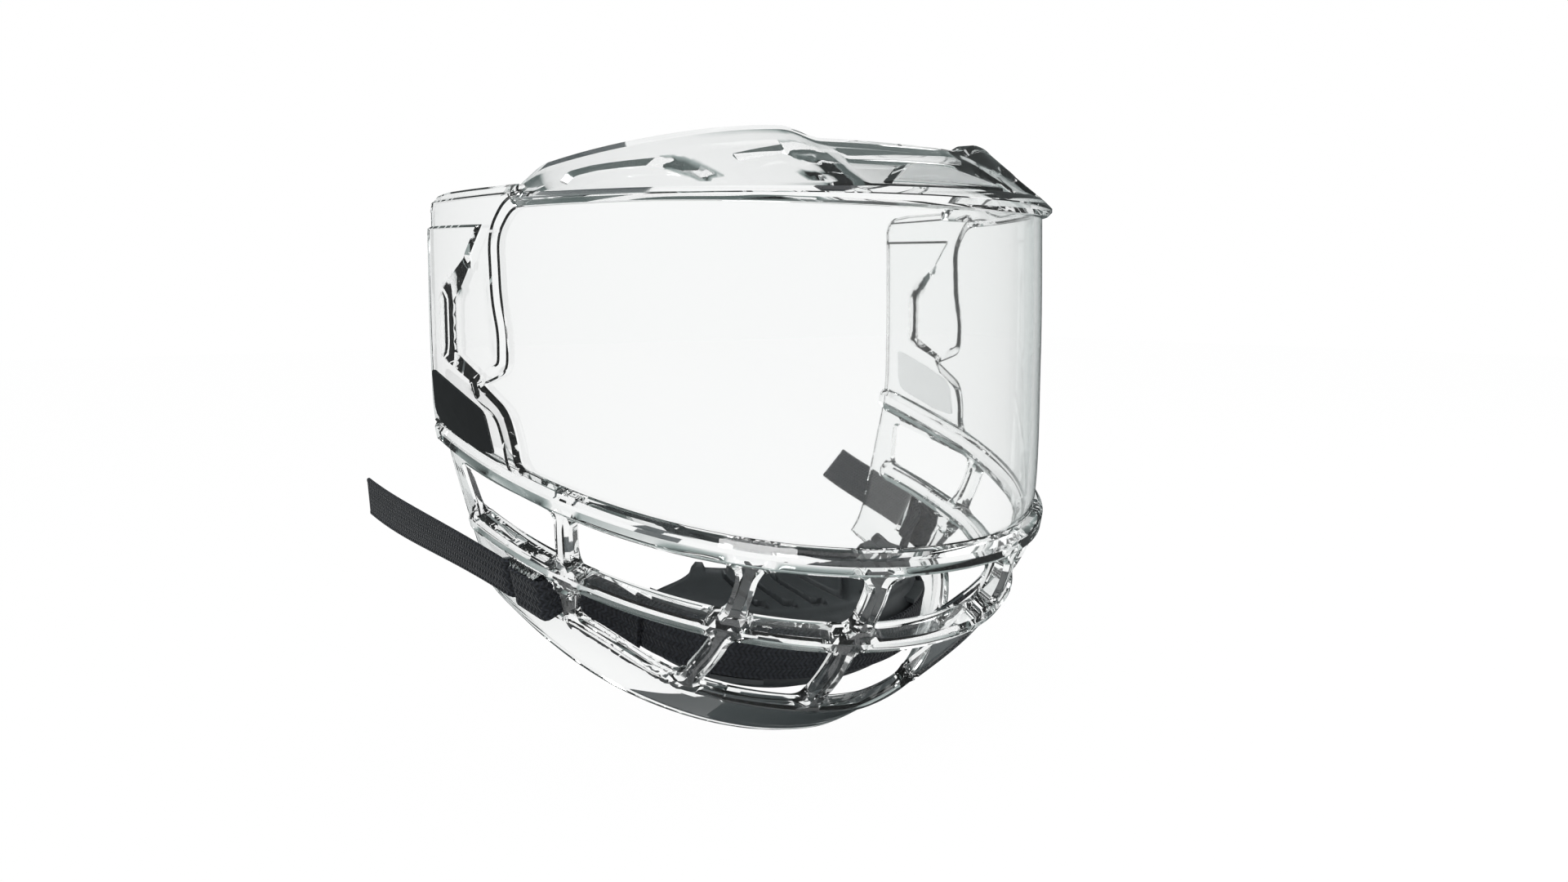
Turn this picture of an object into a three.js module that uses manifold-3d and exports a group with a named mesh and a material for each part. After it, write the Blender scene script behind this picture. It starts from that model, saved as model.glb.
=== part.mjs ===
// Hockey full visor: a clear moulded face shield with a grille over the mouth,
// a chin cup, and webbing straps laced through both cheeks.
// Millimetres, +Z up. X is across the face, the visor looks along -Y, and the wearer's right is at -X.
// All of it is laid out on one curved skin, whose ledge line at the temples is height zero.
// At the end it is moved so that the level land of the brow, where a helmet holds it, is the origin.

import * as THREE from 'three';
import { mergeVertices } from 'three/addons/utils/BufferGeometryUtils.js';
import { TessellateModifier } from 'three/addons/modifiers/TessellateModifier.js';
import Module from 'manifold-3d';

const wasm = await Module();
wasm.setup();

// Driving dimensions of the shield
const HALF_WIDTH = 104;        // mirror plane to the skin at the temples
const DEPTH = 146;             // rear edges to the front of the lens
const CHIN_DROP = 176;         // ledge line down to the lowest edge of the chin guard
const SEAM = 0.3;              // clearance where two solids meet
const FACET = 12;              // longest facet edge on curved panels

// Walls and bars of the clear moulding
const LENS_WALL = 2.6;
const BAR_HEIGHT = 7.2;
const BAR_PROUD = 3.4;         // how far a bar stands out of the skin
const BAR_ROOT = 4.4;          // how far it reaches in behind the skin
const BAR_CHAMFER = 1.6;
const RIB_WIDTH = 6.4;
const RIB_PROUD = 2.4;
const RIB_ROOT = 3.8;
const RIB_CHAMFER = 1.4;
const RIM_HEIGHT = 5.6;
const RIM_PROUD = 2.0;
const RIM_ROOT = 3.6;
const GUARD_WALL = 2.8;
const BAND_RAISE = 1.6;        // band round the lens and the flap above the ledge, over the lens
const PLATE_RAISE = 3.0;       // rear plate of each temple, over the lens
const PLATE_INSET = 0.3;       // step between the rear plate and the edge of the temple
const POCKET_FLOOR = 0.5;      // floor of the six-sided pocket, over the lens

// Brow moulding
const BROW_SETBACK = 24.5;     // front of the lens back to the front of the crest
const CREST_DEPTH = DEPTH - BROW_SETBACK;
const LAND_HEIGHT = 22.8;      // ledge line up to the level land of the brow
const SHOULDER_RISE = 3.2;     // shoulders over the land
const BROW_FALL = 16.5;        // shoulders down to the temple tips
const LAND_WIDTH = 4.6;
const CREST_EDGE = 1.2;        // bevel outside the land
const LIP_PROUD = 3.4;
const LIP_UNDERSIDE = 2.6;     // below the ledge line
const LIP_BEVEL = 2.2;
const LIP_NOSE = 4.2;
const LIP_TOP = 7.2;
const BROW_WALL = 3.4;
const BROW_POCKET_DEPTH = 1.2;
const BROW_BOSS = 1.2;         // raised field for the label, over the sloping wall

// Chin cup and pad. Its reach and its width follow the low rim of the shield.
const CUP_FRONT_GAP = 6.5;     // low rim back to the ridge of the cup
const CUP_SIDE_GAP = 32.5;
const CUP_RIDGE_RISE = 43;     // guard's edge up to the ridge, in the middle
const CUP_BACK = 46;           // rear edges of the shield forward to those of the cup
const CUP_HEIGHT = 46;
const CUP_WALL = 3.2;
const PAD_THICK = 7;
const PAD_EDGE = 2.4;
const GROOVE_WIDTH = 1.6;
const GROOVE_DEPTH = 1.1;
const BRIDGE_WALL = 1.6;       // loops of the cup over its strap

// Webbing, slots and labels
const WEBBING_WIDTH = 16;
const WEBBING_THICK = 1.6;
const POST_LENGTH = 14;        // bar between the two slots of a cheek
const FRONT_SLOT = 4;
const REAR_SLOT = 6;
const SLOT_PLAY = 0.6;         // slot over webbing, above and below
const SLOT_LAND = 1.4;         // wall between the middle bar and the slots
const LOOP_PROUD = 4.6;        // outer face of the loop over the skin
const LOOP_CORNER = 2.6;
const FOLD_RADIUS = 2.6;
const BADGE_THICK = 0.8;
const LABEL_THICK = 0.5;
const LABEL_MARGIN = 1.5;

// Rails of the skin from the lens top down to the guard's edge, each a rounded square in plan.
// Widths, depths and drops are shares of the driving dimensions, drops count down from the ledge line.
const RAIL_SHARES = [
  { wide: 1.000, deep: 1.000, back: 0.000, front: -0.057, rear: -0.057, square: 2.25, ease: 1.0 },
  { wide: 1.005, deep: 1.017, back: 0.000, front: 0.256, rear: 0.256, square: 2.20, ease: 1.0 },
  { wide: 0.990, deep: 1.024, back: 0.000, front: 0.580, rear: 0.398, square: 2.10, ease: 2.1 },
  { wide: 0.913, deep: 0.914, back: 0.000, front: 0.753, rear: 0.585, square: 2.15, ease: 1.7 },
  { wide: 0.861, deep: 0.716, back: 0.000, front: 0.909, rear: 0.688, square: 2.05, ease: 1.5 },
  { wide: 0.820, deep: 0.582, back: 0.021, front: 1.000, rear: 0.750, square: 2.90, ease: 1.1 },
];
const CREST_SHAPE_SHARES = { square: 2.2 };
const LOW_RAIL_SHARES = RAIL_SHARES[4];
const CUP_HALF_WIDTH = HALF_WIDTH * LOW_RAIL_SHARES.wide - CUP_SIDE_GAP;
const CUP_FRONT = DEPTH * LOW_RAIL_SHARES.deep - CUP_FRONT_GAP;
const CUP_RIDGE_DROP = CHIN_DROP - CUP_RIDGE_RISE;

// Places down the skin, counted in rails
const TOP_BAR_SHARE = 2;
const MIDDLE_BAR_SHARE = 2.86;
const RIM_SHARE = 4.05;
const RIM_REAR_SHARE = 3.62;
const EDGE_SHARE = 5;

// Places round the face, as shares of the way from the middle to a rear edge
const BROW_TIP_SHARE = 0.772;
const LAND_SHARE = 0.155;
const SHOULDER_SHARE = 0.235;
const MIDDLE_END_SHARE = 0.955;
const GUARD_SHARE = 0.7;
const RIM_RISE_SHARE = 0.4;
const POST_SHARE = 0.8;

// How finely each piece is faceted
const LENS_COLUMN_COUNT = 36;
const LENS_ROW_COUNT = 7;
const CHEEK_COLUMN_COUNT = 5;
const CHEEK_ROW_COUNT = 8;
const GUARD_COLUMN_COUNT = 28;
const GUARD_ROW_COUNT = 4;
const TOP_BAR_RING_COUNT = 44;
const MIDDLE_BAR_RING_COUNT = 40;
const RIM_RING_COUNT = 32;
const RIB_RING_COUNT = 5;
const BROW_RING_COUNT = 56;
const CUP_COLUMN_COUNT = 20;
const CUP_ROW_COUNT = 12;
const TAIL_BEND_COUNT = 5;
const RUN_RING_COUNT = 10;
const PATCH_CURVE_COUNT = 3;
const LOOP_CURVE_COUNT = 4;
const FOLD_CURVE_COUNT = 8;

// Small helpers
const STEP_SHARE = 1e-3;
const vec = (x, y, z) => new THREE.Vector3(x, y, z);
const mix = (a, b, s) => a + (b - a) * s;
const clamp01 = (x) => Math.min(Math.max(x, 0), 1);
const smooth = (x) => clamp01(x) ** 2 * (3 - 2 * clamp01(x));

// Rounded square in plan. round runs from -1 at the right rear edge to 1 at the left one.
function planCurve(round, halfWidth, depth, square) {
  const angle = Math.min(Math.abs(round), 1) * Math.PI / 2;
  const past = Math.max(Math.abs(round) - 1, 0) * depth;
  const x = Math.sign(round) * halfWidth * Math.sin(angle) ** (2 / square);
  const y = past - depth * Math.max(Math.cos(angle), 0) ** (2 / square);
  return [x, y];
}

function railPoint(rail, round) {
  const [x, y] = planCurve(round, HALF_WIDTH * rail.wide, DEPTH * rail.deep, rail.square);
  const drop = mix(rail.front, rail.rear, Math.min(Math.abs(round), 1) ** rail.ease);
  return vec(x, y + DEPTH * rail.back, -CHIN_DROP * drop);
}

// Smooth curve through the points of the rails, straight past the first and the last
function throughRails(points, down) {
  const last = points.length - 1;
  const inside = Math.min(Math.max(down, 0), last);
  const i = Math.min(Math.floor(inside), last - 1);
  const s = inside - i;
  const [b, c] = [points[i], points[i + 1]];
  const a = points[i - 1] ?? b.clone().multiplyScalar(2).sub(c);
  const d = points[i + 2] ?? c.clone().multiplyScalar(2).sub(b);
  const weights = [
    (-s + 2 * s ** 2 - s ** 3) / 2, (2 - 5 * s ** 2 + 3 * s ** 3) / 2,
    (s + 4 * s ** 2 - 3 * s ** 3) / 2, (s ** 3 - s ** 2) / 2,
  ];
  const point = vec(0, 0, 0);
  [a, b, c, d].forEach((p, k) => point.addScaledVector(p, weights[k]));
  return point.addScaledVector(c.clone().sub(b), down - inside);
}

const skinPoint = (round, down) => throughRails(RAIL_SHARES.map((rail) => railPoint(rail, round)), down);

// A place on a surface with its directions: along goes round the face, out leaves the surface, up climbs it
function frameOf(surface, round, down, step = STEP_SHARE) {
  const along = surface(round + step, down).sub(surface(round - step, down));
  const drop = surface(round, down + step).sub(surface(round, down - step));
  const out = drop.cross(along).normalize();
  along.normalize();
  return { point: surface(round, down), along, out, up: out.clone().cross(along) };
}

const lifted = (surface, step = STEP_SHARE) => (round, down, height) => {
  const frame = frameOf(surface, round, down, step);
  return frame.point.addScaledVector(frame.out, height);
};
const skin = lifted(skinPoint);

// Closed geometries become solids that can be joined and cut, and solids become geometries again
function weld(geometry) {
  const bare = new THREE.BufferGeometry();
  bare.setAttribute('position', geometry.getAttribute('position').clone());
  if (geometry.index) bare.setIndex(geometry.index.clone());
  return mergeVertices(bare, 1e-4);
}

function signedVolume(geometry) {
  const position = geometry.getAttribute('position');
  const index = geometry.index.array;
  const corner = (k) => new THREE.Vector3().fromBufferAttribute(position, index[k]);
  let sum = 0;
  for (let k = 0; k < index.length; k += 3) sum += corner(k).dot(corner(k + 1).cross(corner(k + 2)));
  return sum / 6;
}

function turnInsideOut(index) {
  for (let k = 0; k < index.length; k += 3) [index[k], index[k + 1]] = [index[k + 1], index[k]];
}

function solid(geometry) {
  const welded = weld(geometry);
  const triVerts = Uint32Array.from(welded.index.array);
  if (signedVolume(welded) < 0) turnInsideOut(triVerts);
  const vertProperties = Float32Array.from(welded.getAttribute('position').array);
  return new wasm.Manifold(new wasm.Mesh({ numProp: 3, vertProperties, triVerts }));
}

function geometryOf(manifold) {
  const mesh = manifold.getMesh();
  const geometry = new THREE.BufferGeometry();
  geometry.setAttribute('position', new THREE.BufferAttribute(Float32Array.from(mesh.vertProperties), 3));
  geometry.setIndex(new THREE.BufferAttribute(Uint32Array.from(mesh.triVerts), 1));
  geometry.computeVertexNormals();
  return geometry;
}

function mirrored(geometry) {
  const copy = geometry.clone().scale(-1, 1, 1);
  turnInsideOut(copy.index.array);
  copy.computeVertexNormals();
  return copy;
}

const joined = (first, ...rest) => rest.reduce((sum, part) => sum.add(part), first);
const cut = (first, ...rest) => rest.reduce((left, part) => left.subtract(part), first);

// Outline points are [share round the face, rail, corner share]. A corner share rounds the corner
// over that share of its shorter side. Grow moves the whole outline out by a length.
function outlineShape(points, scale, grow) {
  const raw = points.map(([round, down]) => new THREE.Vector2(round * scale.round, down * scale.down));
  const turn = THREE.ShapeUtils.area(raw) > 0 ? 1 : -1;
  const edgeNormal = (from, to) => new THREE.Vector2(to.y - from.y, from.x - to.x).setLength(turn);
  const at = raw.map((here, k) => {
    const into = edgeNormal(raw[(k + raw.length - 1) % raw.length], here);
    const away = edgeNormal(here, raw[(k + 1) % raw.length]);
    const middle = into.clone().add(away).normalize();
    return here.clone().addScaledVector(middle, grow / Math.max(middle.dot(into), 0.3));
  });
  const path = new THREE.Shape();
  points.forEach(([, , corner = 0], k) => {
    const here = at[k];
    const before = at[(k + at.length - 1) % at.length];
    const after = at[(k + 1) % at.length];
    const reach = corner * Math.min(here.distanceTo(before), here.distanceTo(after)) / 2;
    const enter = here.clone().add(before.clone().sub(here).setLength(reach));
    const leave = here.clone().add(after.clone().sub(here).setLength(reach));
    if (k === 0) path.moveTo(enter.x, enter.y);
    else path.lineTo(enter.x, enter.y);
    if (corner) path.quadraticCurveTo(here.x, here.y, leave.x, leave.y);
  });
  path.closePath();
  return path;
}

const slab = (shape, depth, curveSegments) => {
  return new THREE.ExtrudeGeometry(shape, { depth, bevelEnabled: false, curveSegments });
};

// A slab over an outline, bent onto a surface between two heights
function patch(surface, scale, outline, low, high, grow = 0) {
  const shape = outlineShape(outline, scale, grow);
  const flat = slab(shape, high - low, PATCH_CURVE_COUNT);
  flat.deleteAttribute('uv');
  flat.deleteAttribute('normal');
  flat.clearGroups();
  const fine = new TessellateModifier(FACET, 12).modify(flat);
  const position = fine.getAttribute('position');
  for (let k = 0; k < position.count; k += 1) {
    const round = position.getX(k) / scale.round;
    const down = position.getY(k) / scale.down;
    const placed = surface(round, down, low + position.getZ(k));
    position.setXYZ(k, placed.x, placed.y, placed.z);
  }
  return solid(fine);
}
const SKIN_SCALE = { round: HALF_WIDTH * 2, down: CHIN_DROP * 0.21 };

// A closed tube of rings with as many points each.
// The cap is the outline of a ring laid flat, counterclockwise.
function loft(rings, cap) {
  const count = cap.length;
  const index = [];
  for (let r = 0; r + 1 < rings.length; r += 1) {
    for (let k = 0; k < count; k += 1) {
      const [a, b] = [r * count + k, r * count + (k + 1) % count];
      index.push(a, b, b + count, a, b + count, a + count);
    }
  }
  const end = (rings.length - 1) * count;
  const outline = cap.map(([x, y]) => new THREE.Vector2(x, y));
  for (const [a, b, c] of THREE.ShapeUtils.triangulateShape(outline, [])) {
    index.push(a, c, b, end + a, end + b, end + c);
  }
  const geometry = new THREE.BufferGeometry();
  const positions = rings.flat().flatMap((p) => [p.x, p.y, p.z]);
  geometry.setAttribute('position', new THREE.Float32BufferAttribute(positions, 3));
  geometry.setIndex(index);
  return solid(geometry);
}

// A slab between two lines on a surface. A column is [its upper end, its lower end], each [round, down].
function sheet(surface, columns, rows, low, high) {
  const levels = Array.from({ length: rows + 1 }, (_, j) => j / rows);
  const rings = columns.map(([upper, lower]) => {
    const at = (height) => (s) => surface(mix(upper[0], lower[0], s), mix(upper[1], lower[1], s), height);
    return [...levels.map(at(low)), ...levels.map(at(high)).reverse()];
  });
  return loft(rings, [...levels.map((s) => [s, s ** 2]), ...levels.map((s) => [s, s ** 2 + 1]).reverse()]);
}

// Columns evenly spaced between neighbouring key columns
function columnsThrough(keys, parts) {
  const columns = [keys[0]];
  const between = (from, to, s) => from.map((end, e) => end.map((value, c) => mix(value, to[e][c], s)));
  for (let k = 1; k < keys.length; k += 1) {
    for (let j = 1; j <= parts; j += 1) columns.push(between(keys[k - 1], keys[k], j / parts));
  }
  return columns;
}

// Bars and ribs: a chamfered section swept along a line on the skin
function barSection(width, proud, root, chamfer) {
  const half = width / 2;
  return [
    [chamfer - half, -root], [half - chamfer, -root], [half, chamfer - root], [half, proud - chamfer],
    [half - chamfer, proud], [chamfer - half, proud], [-half, proud - chamfer], [-half, chamfer - root],
  ];
}

function bar(line, steps, section) {
  const rings = [];
  for (let k = 0; k <= steps; k += 1) {
    const s = k / steps;
    const frame = frameOf(skinPoint, ...line(s));
    const along = skinPoint(...line(s + STEP_SHARE)).sub(skinPoint(...line(s - STEP_SHARE))).normalize();
    const side = frame.out.clone().cross(along).normalize();
    const place = ([w, h]) => frame.point.clone().addScaledVector(side, w).addScaledVector(frame.out, h);
    rings.push(section.map(place));
  }
  return loft(rings, section);
}

const straightLine = (from, to) => (s) => [mix(from[0], to[0], s), mix(from[1], to[1], s)];
const growingBar = (line, steps, width, proud, root, chamfer) => (grow) => {
  const longer = (s) => line(mix(-grow / DEPTH, 1 + grow / DEPTH, s));
  return bar(longer, steps, barSection(width + 2 * grow, proud + grow, root + grow, chamfer));
};

const topLine = straightLine([-1, TOP_BAR_SHARE], [1, TOP_BAR_SHARE]);
const topBar = growingBar(topLine, TOP_BAR_RING_COUNT, BAR_HEIGHT, BAR_PROUD, BAR_ROOT, BAR_CHAMFER);
const middleEnds = [-MIDDLE_END_SHARE, MIDDLE_END_SHARE].map((round) => [round, MIDDLE_BAR_SHARE]);
const middleLine = straightLine(...middleEnds);
const middleBar = growingBar(
  middleLine, MIDDLE_BAR_RING_COUNT, BAR_HEIGHT, BAR_PROUD, BAR_ROOT, BAR_CHAMFER,
);

function rimLine(s) {
  const round = mix(-GUARD_SHARE, GUARD_SHARE, s);
  const climb = smooth((Math.abs(round) - RIM_RISE_SHARE) / (GUARD_SHARE - RIM_RISE_SHARE));
  return [round, mix(RIM_SHARE, RIM_REAR_SHARE, climb)];
}
const rim = growingBar(rimLine, RIM_RING_COUNT, RIM_HEIGHT, RIM_PROUD, RIM_ROOT, RIB_CHAMFER);

// Ribs as [name, upper share, upper rail, lower share, lower rail]
const RIB_SHARES = [
  ['front_rib', 0.156, TOP_BAR_SHARE, 0.166, MIDDLE_BAR_SHARE],
  ['side_rib', 0.378, TOP_BAR_SHARE, 0.405, MIDDLE_BAR_SHARE],
  ['rear_rib', 0.700, TOP_BAR_SHARE, 0.722, MIDDLE_BAR_SHARE],
  ['lower_front_rib', 0.172, MIDDLE_BAR_SHARE, 0.150, RIM_SHARE],
  ['lower_side_rib', 0.405, MIDDLE_BAR_SHARE, 0.438, RIM_SHARE],
];

function rib(upperShare, upperRail, lowerShare, lowerRail) {
  const line = straightLine([upperShare, upperRail], [lowerShare, lowerRail]);
  const whole = bar(line, RIB_RING_COUNT, barSection(RIB_WIDTH, RIB_PROUD, RIB_ROOT, RIB_CHAMFER));
  return cut(whole, topBar(SEAM), middleBar(SEAM), rim(SEAM));
}

// Brow: a lip round the lens top, a sloping wall, and a crest with a level land in the middle
function crestHeight(round) {
  const far = Math.abs(round);
  const rise = SHOULDER_RISE * smooth((far - LAND_SHARE) / (SHOULDER_SHARE - LAND_SHARE));
  const fall = BROW_FALL * clamp01((far - SHOULDER_SHARE) / (BROW_TIP_SHARE - SHOULDER_SHARE)) ** 1.5;
  return LAND_HEIGHT + rise - fall;
}

// A line in plan moved out by a length, at a height
const planLine = (halfWidth, depth, square) => (round, out, height) => {
  const [x, y] = planCurve(round, halfWidth, depth, square);
  const [x0, y0] = planCurve(round - STEP_SHARE, halfWidth, depth, square);
  const [x1, y1] = planCurve(round + STEP_SHARE, halfWidth, depth, square);
  const length = Math.hypot(x1 - x0, y1 - y0);
  return vec(x + (y1 - y0) / length * out, y - (x1 - x0) / length * out, height);
};
const lensLine = planLine(HALF_WIDTH, DEPTH, RAIL_SHARES[0].square);
const crestLine = planLine(HALF_WIDTH, CREST_DEPTH, CREST_SHAPE_SHARES.square);

function browRing(round, grow) {
  const crest = crestHeight(round);
  return [
    lensLine(round, grow, -LIP_UNDERSIDE - grow),
    lensLine(round, LIP_PROUD - LIP_BEVEL + grow, -LIP_UNDERSIDE - grow),
    lensLine(round, LIP_PROUD + grow, LIP_BEVEL - LIP_UNDERSIDE - grow),
    lensLine(round, LIP_PROUD + grow, LIP_NOSE + grow),
    lensLine(round, LIP_PROUD - LIP_BEVEL + grow, LIP_TOP + grow),
    crestLine(round, grow, crest - CREST_EDGE + grow),
    crestLine(round, grow - CREST_EDGE, crest + grow),
    crestLine(round, -CREST_EDGE - LAND_WIDTH - grow, crest + grow),
    crestLine(round, -CREST_EDGE - LAND_WIDTH - grow, crest - BROW_WALL - grow),
    lensLine(round, -BROW_WALL - grow, LIP_NOSE - grow),
    lensLine(round, -BROW_WALL - grow, -LIP_UNDERSIDE - grow),
  ];
}

const BROW_CAP_SHARES = [
  [0, 0], [0.1, 0], [0.2, 0.1], [0.2, 0.3], [0.1, 0.4], [-0.6, 0.9], [-0.65, 1], [-0.85, 1], [-0.85, 0.8],
  [-0.2, 0.25], [-0.2, 0],
];

function browShell(grow) {
  const placeOf = (k) => BROW_TIP_SHARE * (2 * k / BROW_RING_COUNT - 1);
  const places = Array.from({ length: BROW_RING_COUNT + 1 }, (_, k) => placeOf(k));
  const reach = BROW_TIP_SHARE + 4 * grow / DEPTH;
  if (grow) places.splice(0, places.length, -reach, ...places, reach);
  return loft(places.map((round) => browRing(round, grow)), BROW_CAP_SHARES);
}

// The sloping wall as a surface: down is 0 at the crest and 1 at the lip
const browSlope = lifted((round, down) => {
  const top = crestLine(round, 0, crestHeight(round) - CREST_EDGE);
  return top.lerp(lensLine(round, LIP_PROUD - LIP_BEVEL, LIP_TOP), down);
});
const BROW_SCALE = { round: HALF_WIDTH * 2, down: CREST_DEPTH * 0.2 };
const BROW_POCKET_SHARES = [[0.34, 0.28, 0.3], [0.64, 0.5, 0.9], [0.66, 0.86, 0.9], [0.25, 0.9, 0.3]];
const BROW_LABEL_SHARES = [[-0.14, 0.96], [-0.07, 0.3, 0.3], [0.07, 0.3, 0.3], [0.14, 0.96]];

function brow() {
  const pocket = patch(browSlope, BROW_SCALE, BROW_POCKET_SHARES, -BROW_POCKET_DEPTH, BROW_WALL);
  const boss = patch(browSlope, BROW_SCALE, BROW_LABEL_SHARES, -BROW_WALL / 2, BROW_BOSS);
  return cut(browShell(0), pocket, mirrorSolid(pocket)).add(boss);
}

const mirrorSolid = (manifold) => solid(mirrored(geometryOf(manifold)));

// Outlines on the left temple
const TOP_EDGE_SHARES = [[1, 0.11], [0.993, 0.03, 0.8], [0.955, 0]];
const LEDGE_SHARES = [[1, 0.182], [0.852, 0.203]];
const BROW_SEAT_SHARES = [[0.76, 0], [0.76, 0.2], [0.745, 0.2]];
const LENS_EDGE_SHARES = [
  [0.745, 0.262], [0.79, 0.275, 0.8], [0.82, 0.37, 0.8], [0.815, 0.62, 0.8], [0.803, 0.8, 0.8],
  [0.805, 1.06, 0.8],
];
const POCKET_SHARES = [
  [0.886, 0.364, 0.2], [0.843, 0.44, 0.2], [0.822, 1.0, 0.2], [0.867, 1.181, 0.1], [0.96, 0.975, 0.2],
  [0.96, 0.549, 0.2],
];
const POCKET_SEAT_SHARES = [0.89, 0.76];
const POCKET_LINE_SHARES = [[0.886, 0.364], [0.867, 1.181]];
const CHEEK_CURVE_SHARES = [
  [0.807, 1.36, 0.9], [0.79, 1.6, 0.9], [0.784, 1.84, 0.8], [0.74, 1.95], [0.74, 2], [1, 2],
];
const BADGE_SHARES = [
  [0.985, 1.085, 0.15], [0.842, 1.4, 0.4], [0.823, 1.78, 0.3], [0.872, 1.815, 0.6], [0.978, 1.745, 0.6],
];

const templeBase = [
  ...TOP_EDGE_SHARES, ...BROW_SEAT_SHARES, ...LENS_EDGE_SHARES, POCKET_LINE_SHARES[1], ...CHEEK_CURVE_SHARES,
];

function temple() {
  const plateOutline = [...LEDGE_SHARES, ...POCKET_LINE_SHARES, ...CHEEK_CURVE_SHARES];
  const whole = joined(
    patch(skin, SKIN_SCALE, templeBase, -LENS_WALL, BAND_RAISE),
    patch(skin, SKIN_SCALE, plateOutline, -LENS_WALL / 2, PLATE_RAISE, -PLATE_INSET),
  );
  return cut(whole, clipPocket(), browShell(2 * SEAM), topBar(SEAM));
}

// Six-sided pocket with a flat floor, where a clip on the side of the helmet bears
function clipPocket() {
  const seat = frameOf(skinPoint, ...POCKET_SEAT_SHARES);
  const corners = POCKET_SHARES.map(([round, down, corner]) => {
    const reach = skinPoint(round, down).sub(seat.point);
    return [reach.dot(seat.along), reach.dot(seat.up), corner];
  });
  const shape = outlineShape(corners, { round: 1, down: 1 }, 0);
  const block = slab(shape, 2 * PLATE_RAISE, PATCH_CURVE_COUNT);
  const basis = new THREE.Matrix4().makeBasis(seat.along, seat.up, seat.out);
  block.translate(0, 0, POCKET_FLOOR).applyMatrix4(basis.setPosition(seat.point));
  return solid(block);
}

const LENS_SHARES = { side: 0.875, top: 0.19 };

function lens() {
  const { side, top } = LENS_SHARES;
  const edges = [-side, side].map((round) => [[round, top], [round, TOP_BAR_SHARE]]);
  const glass = sheet(skin, columnsThrough(edges, LENS_COLUMN_COUNT), LENS_ROW_COUNT, -LENS_WALL, 0);
  const opening = patch(skin, SKIN_SCALE, templeBase, -2 * LENS_WALL, PLATE_RAISE, SEAM);
  return cut(glass, browShell(SEAM), topBar(SEAM), opening, mirrorSolid(opening));
}

const plateLabel = (thick) => {
  const low = PLATE_RAISE + SEAM;
  return patch(skin, SKIN_SCALE, BADGE_SHARES, low, low + thick);
};
const badge = () => plateLabel(BADGE_THICK);
const sideLabel = () => plateLabel(LABEL_THICK);
function browLabel() {
  const low = BROW_BOSS + SEAM;
  return patch(browSlope, BROW_SCALE, BROW_LABEL_SHARES, low, low + LABEL_THICK, -LABEL_MARGIN);
}

// Cheek panels with their strap slots, and the chin guard with its rim
const CHEEK_FRONT_SHARE = GUARD_SHARE + 2 * SEAM / HALF_WIDTH;
const CHEEK_SHARES = [
  [[CHEEK_FRONT_SHARE, 2.9], [CHEEK_FRONT_SHARE, EDGE_SHARE]], [[0.95, 2.88], [0.95, EDGE_SHARE]],
  [[0.965, 1.95], [0.965, EDGE_SHARE]], [[1, 1.95], [1, EDGE_SHARE]],
];

// The post lies below the middle bar, with room for the slots between them
function railBelow(round, down, distance) {
  let place = down;
  let left = distance;
  while (left > 0) {
    left -= skinPoint(round, place).distanceTo(skinPoint(round, place + STEP_SHARE));
    place += STEP_SHARE;
  }
  return place;
}
const postDrop = BAR_HEIGHT / 2 + SLOT_LAND + SLOT_PLAY + WEBBING_WIDTH / 2;
const post = frameOf(skinPoint, POST_SHARE, railBelow(POST_SHARE, MIDDLE_BAR_SHARE, postDrop));
function byPost(along, out) {
  return post.point.clone().addScaledVector(post.along, along).addScaledVector(post.out, out);
}

// Moves what is drawn with x along the skin and y out of it, and centred on its depth, to the post
function placeAtPost(geometry) {
  const basis = new THREE.Matrix4().makeBasis(post.along, post.out, post.up.clone().negate());
  return solid(geometry.applyMatrix4(basis.setPosition(post.point)));
}

function roundedBox(Kind, minX, maxX, minY, maxY, radius) {
  const path = new Kind();
  path.moveTo(minX + radius, minY);
  path.lineTo(maxX - radius, minY);
  if (radius) path.absarc(maxX - radius, minY + radius, radius, -Math.PI / 2, 0);
  path.lineTo(maxX, maxY - radius);
  if (radius) path.absarc(maxX - radius, maxY - radius, radius, 0, Math.PI / 2);
  path.lineTo(minX + radius, maxY);
  if (radius) path.absarc(minX + radius, maxY - radius, radius, Math.PI / 2, Math.PI);
  path.lineTo(minX, minY + radius);
  if (radius) path.absarc(minX + radius, minY + radius, radius, Math.PI, Math.PI * 1.5);
  return path;
}

function acrossPost(shape, depth, curveSegments = LOOP_CURVE_COUNT) {
  return placeAtPost(slab(shape, depth, curveSegments).translate(0, 0, -depth / 2));
}

function slotCutter(from, to) {
  const through = BAR_ROOT + BAR_PROUD;
  return acrossPost(roundedBox(THREE.Shape, from, to, -through, through, 0), WEBBING_WIDTH + 2 * SLOT_PLAY);
}

function cheekPanel() {
  const half = POST_LENGTH / 2;
  const columns = columnsThrough(CHEEK_SHARES, CHEEK_COLUMN_COUNT);
  const panel = sheet(skin, columns, CHEEK_ROW_COUNT, -GUARD_WALL, 0);
  const slots = [slotCutter(half, half + REAR_SLOT), slotCutter(-half - FRONT_SLOT, -half)];
  return cut(panel, topBar(SEAM), middleBar(SEAM), chinGuard(SEAM), ...slots);
}

function chinGuard(grow) {
  const columns = Array.from({ length: GUARD_COLUMN_COUNT + 1 }, (_, k) => {
    const upper = rimLine(mix(-grow / DEPTH, 1 + grow / DEPTH, k / GUARD_COLUMN_COUNT));
    return [upper, [upper[0], EDGE_SHARE + grow / DEPTH]];
  });
  return joined(sheet(skin, columns, GUARD_ROW_COUNT, -GUARD_WALL - grow, grow), rim(grow));
}

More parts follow.
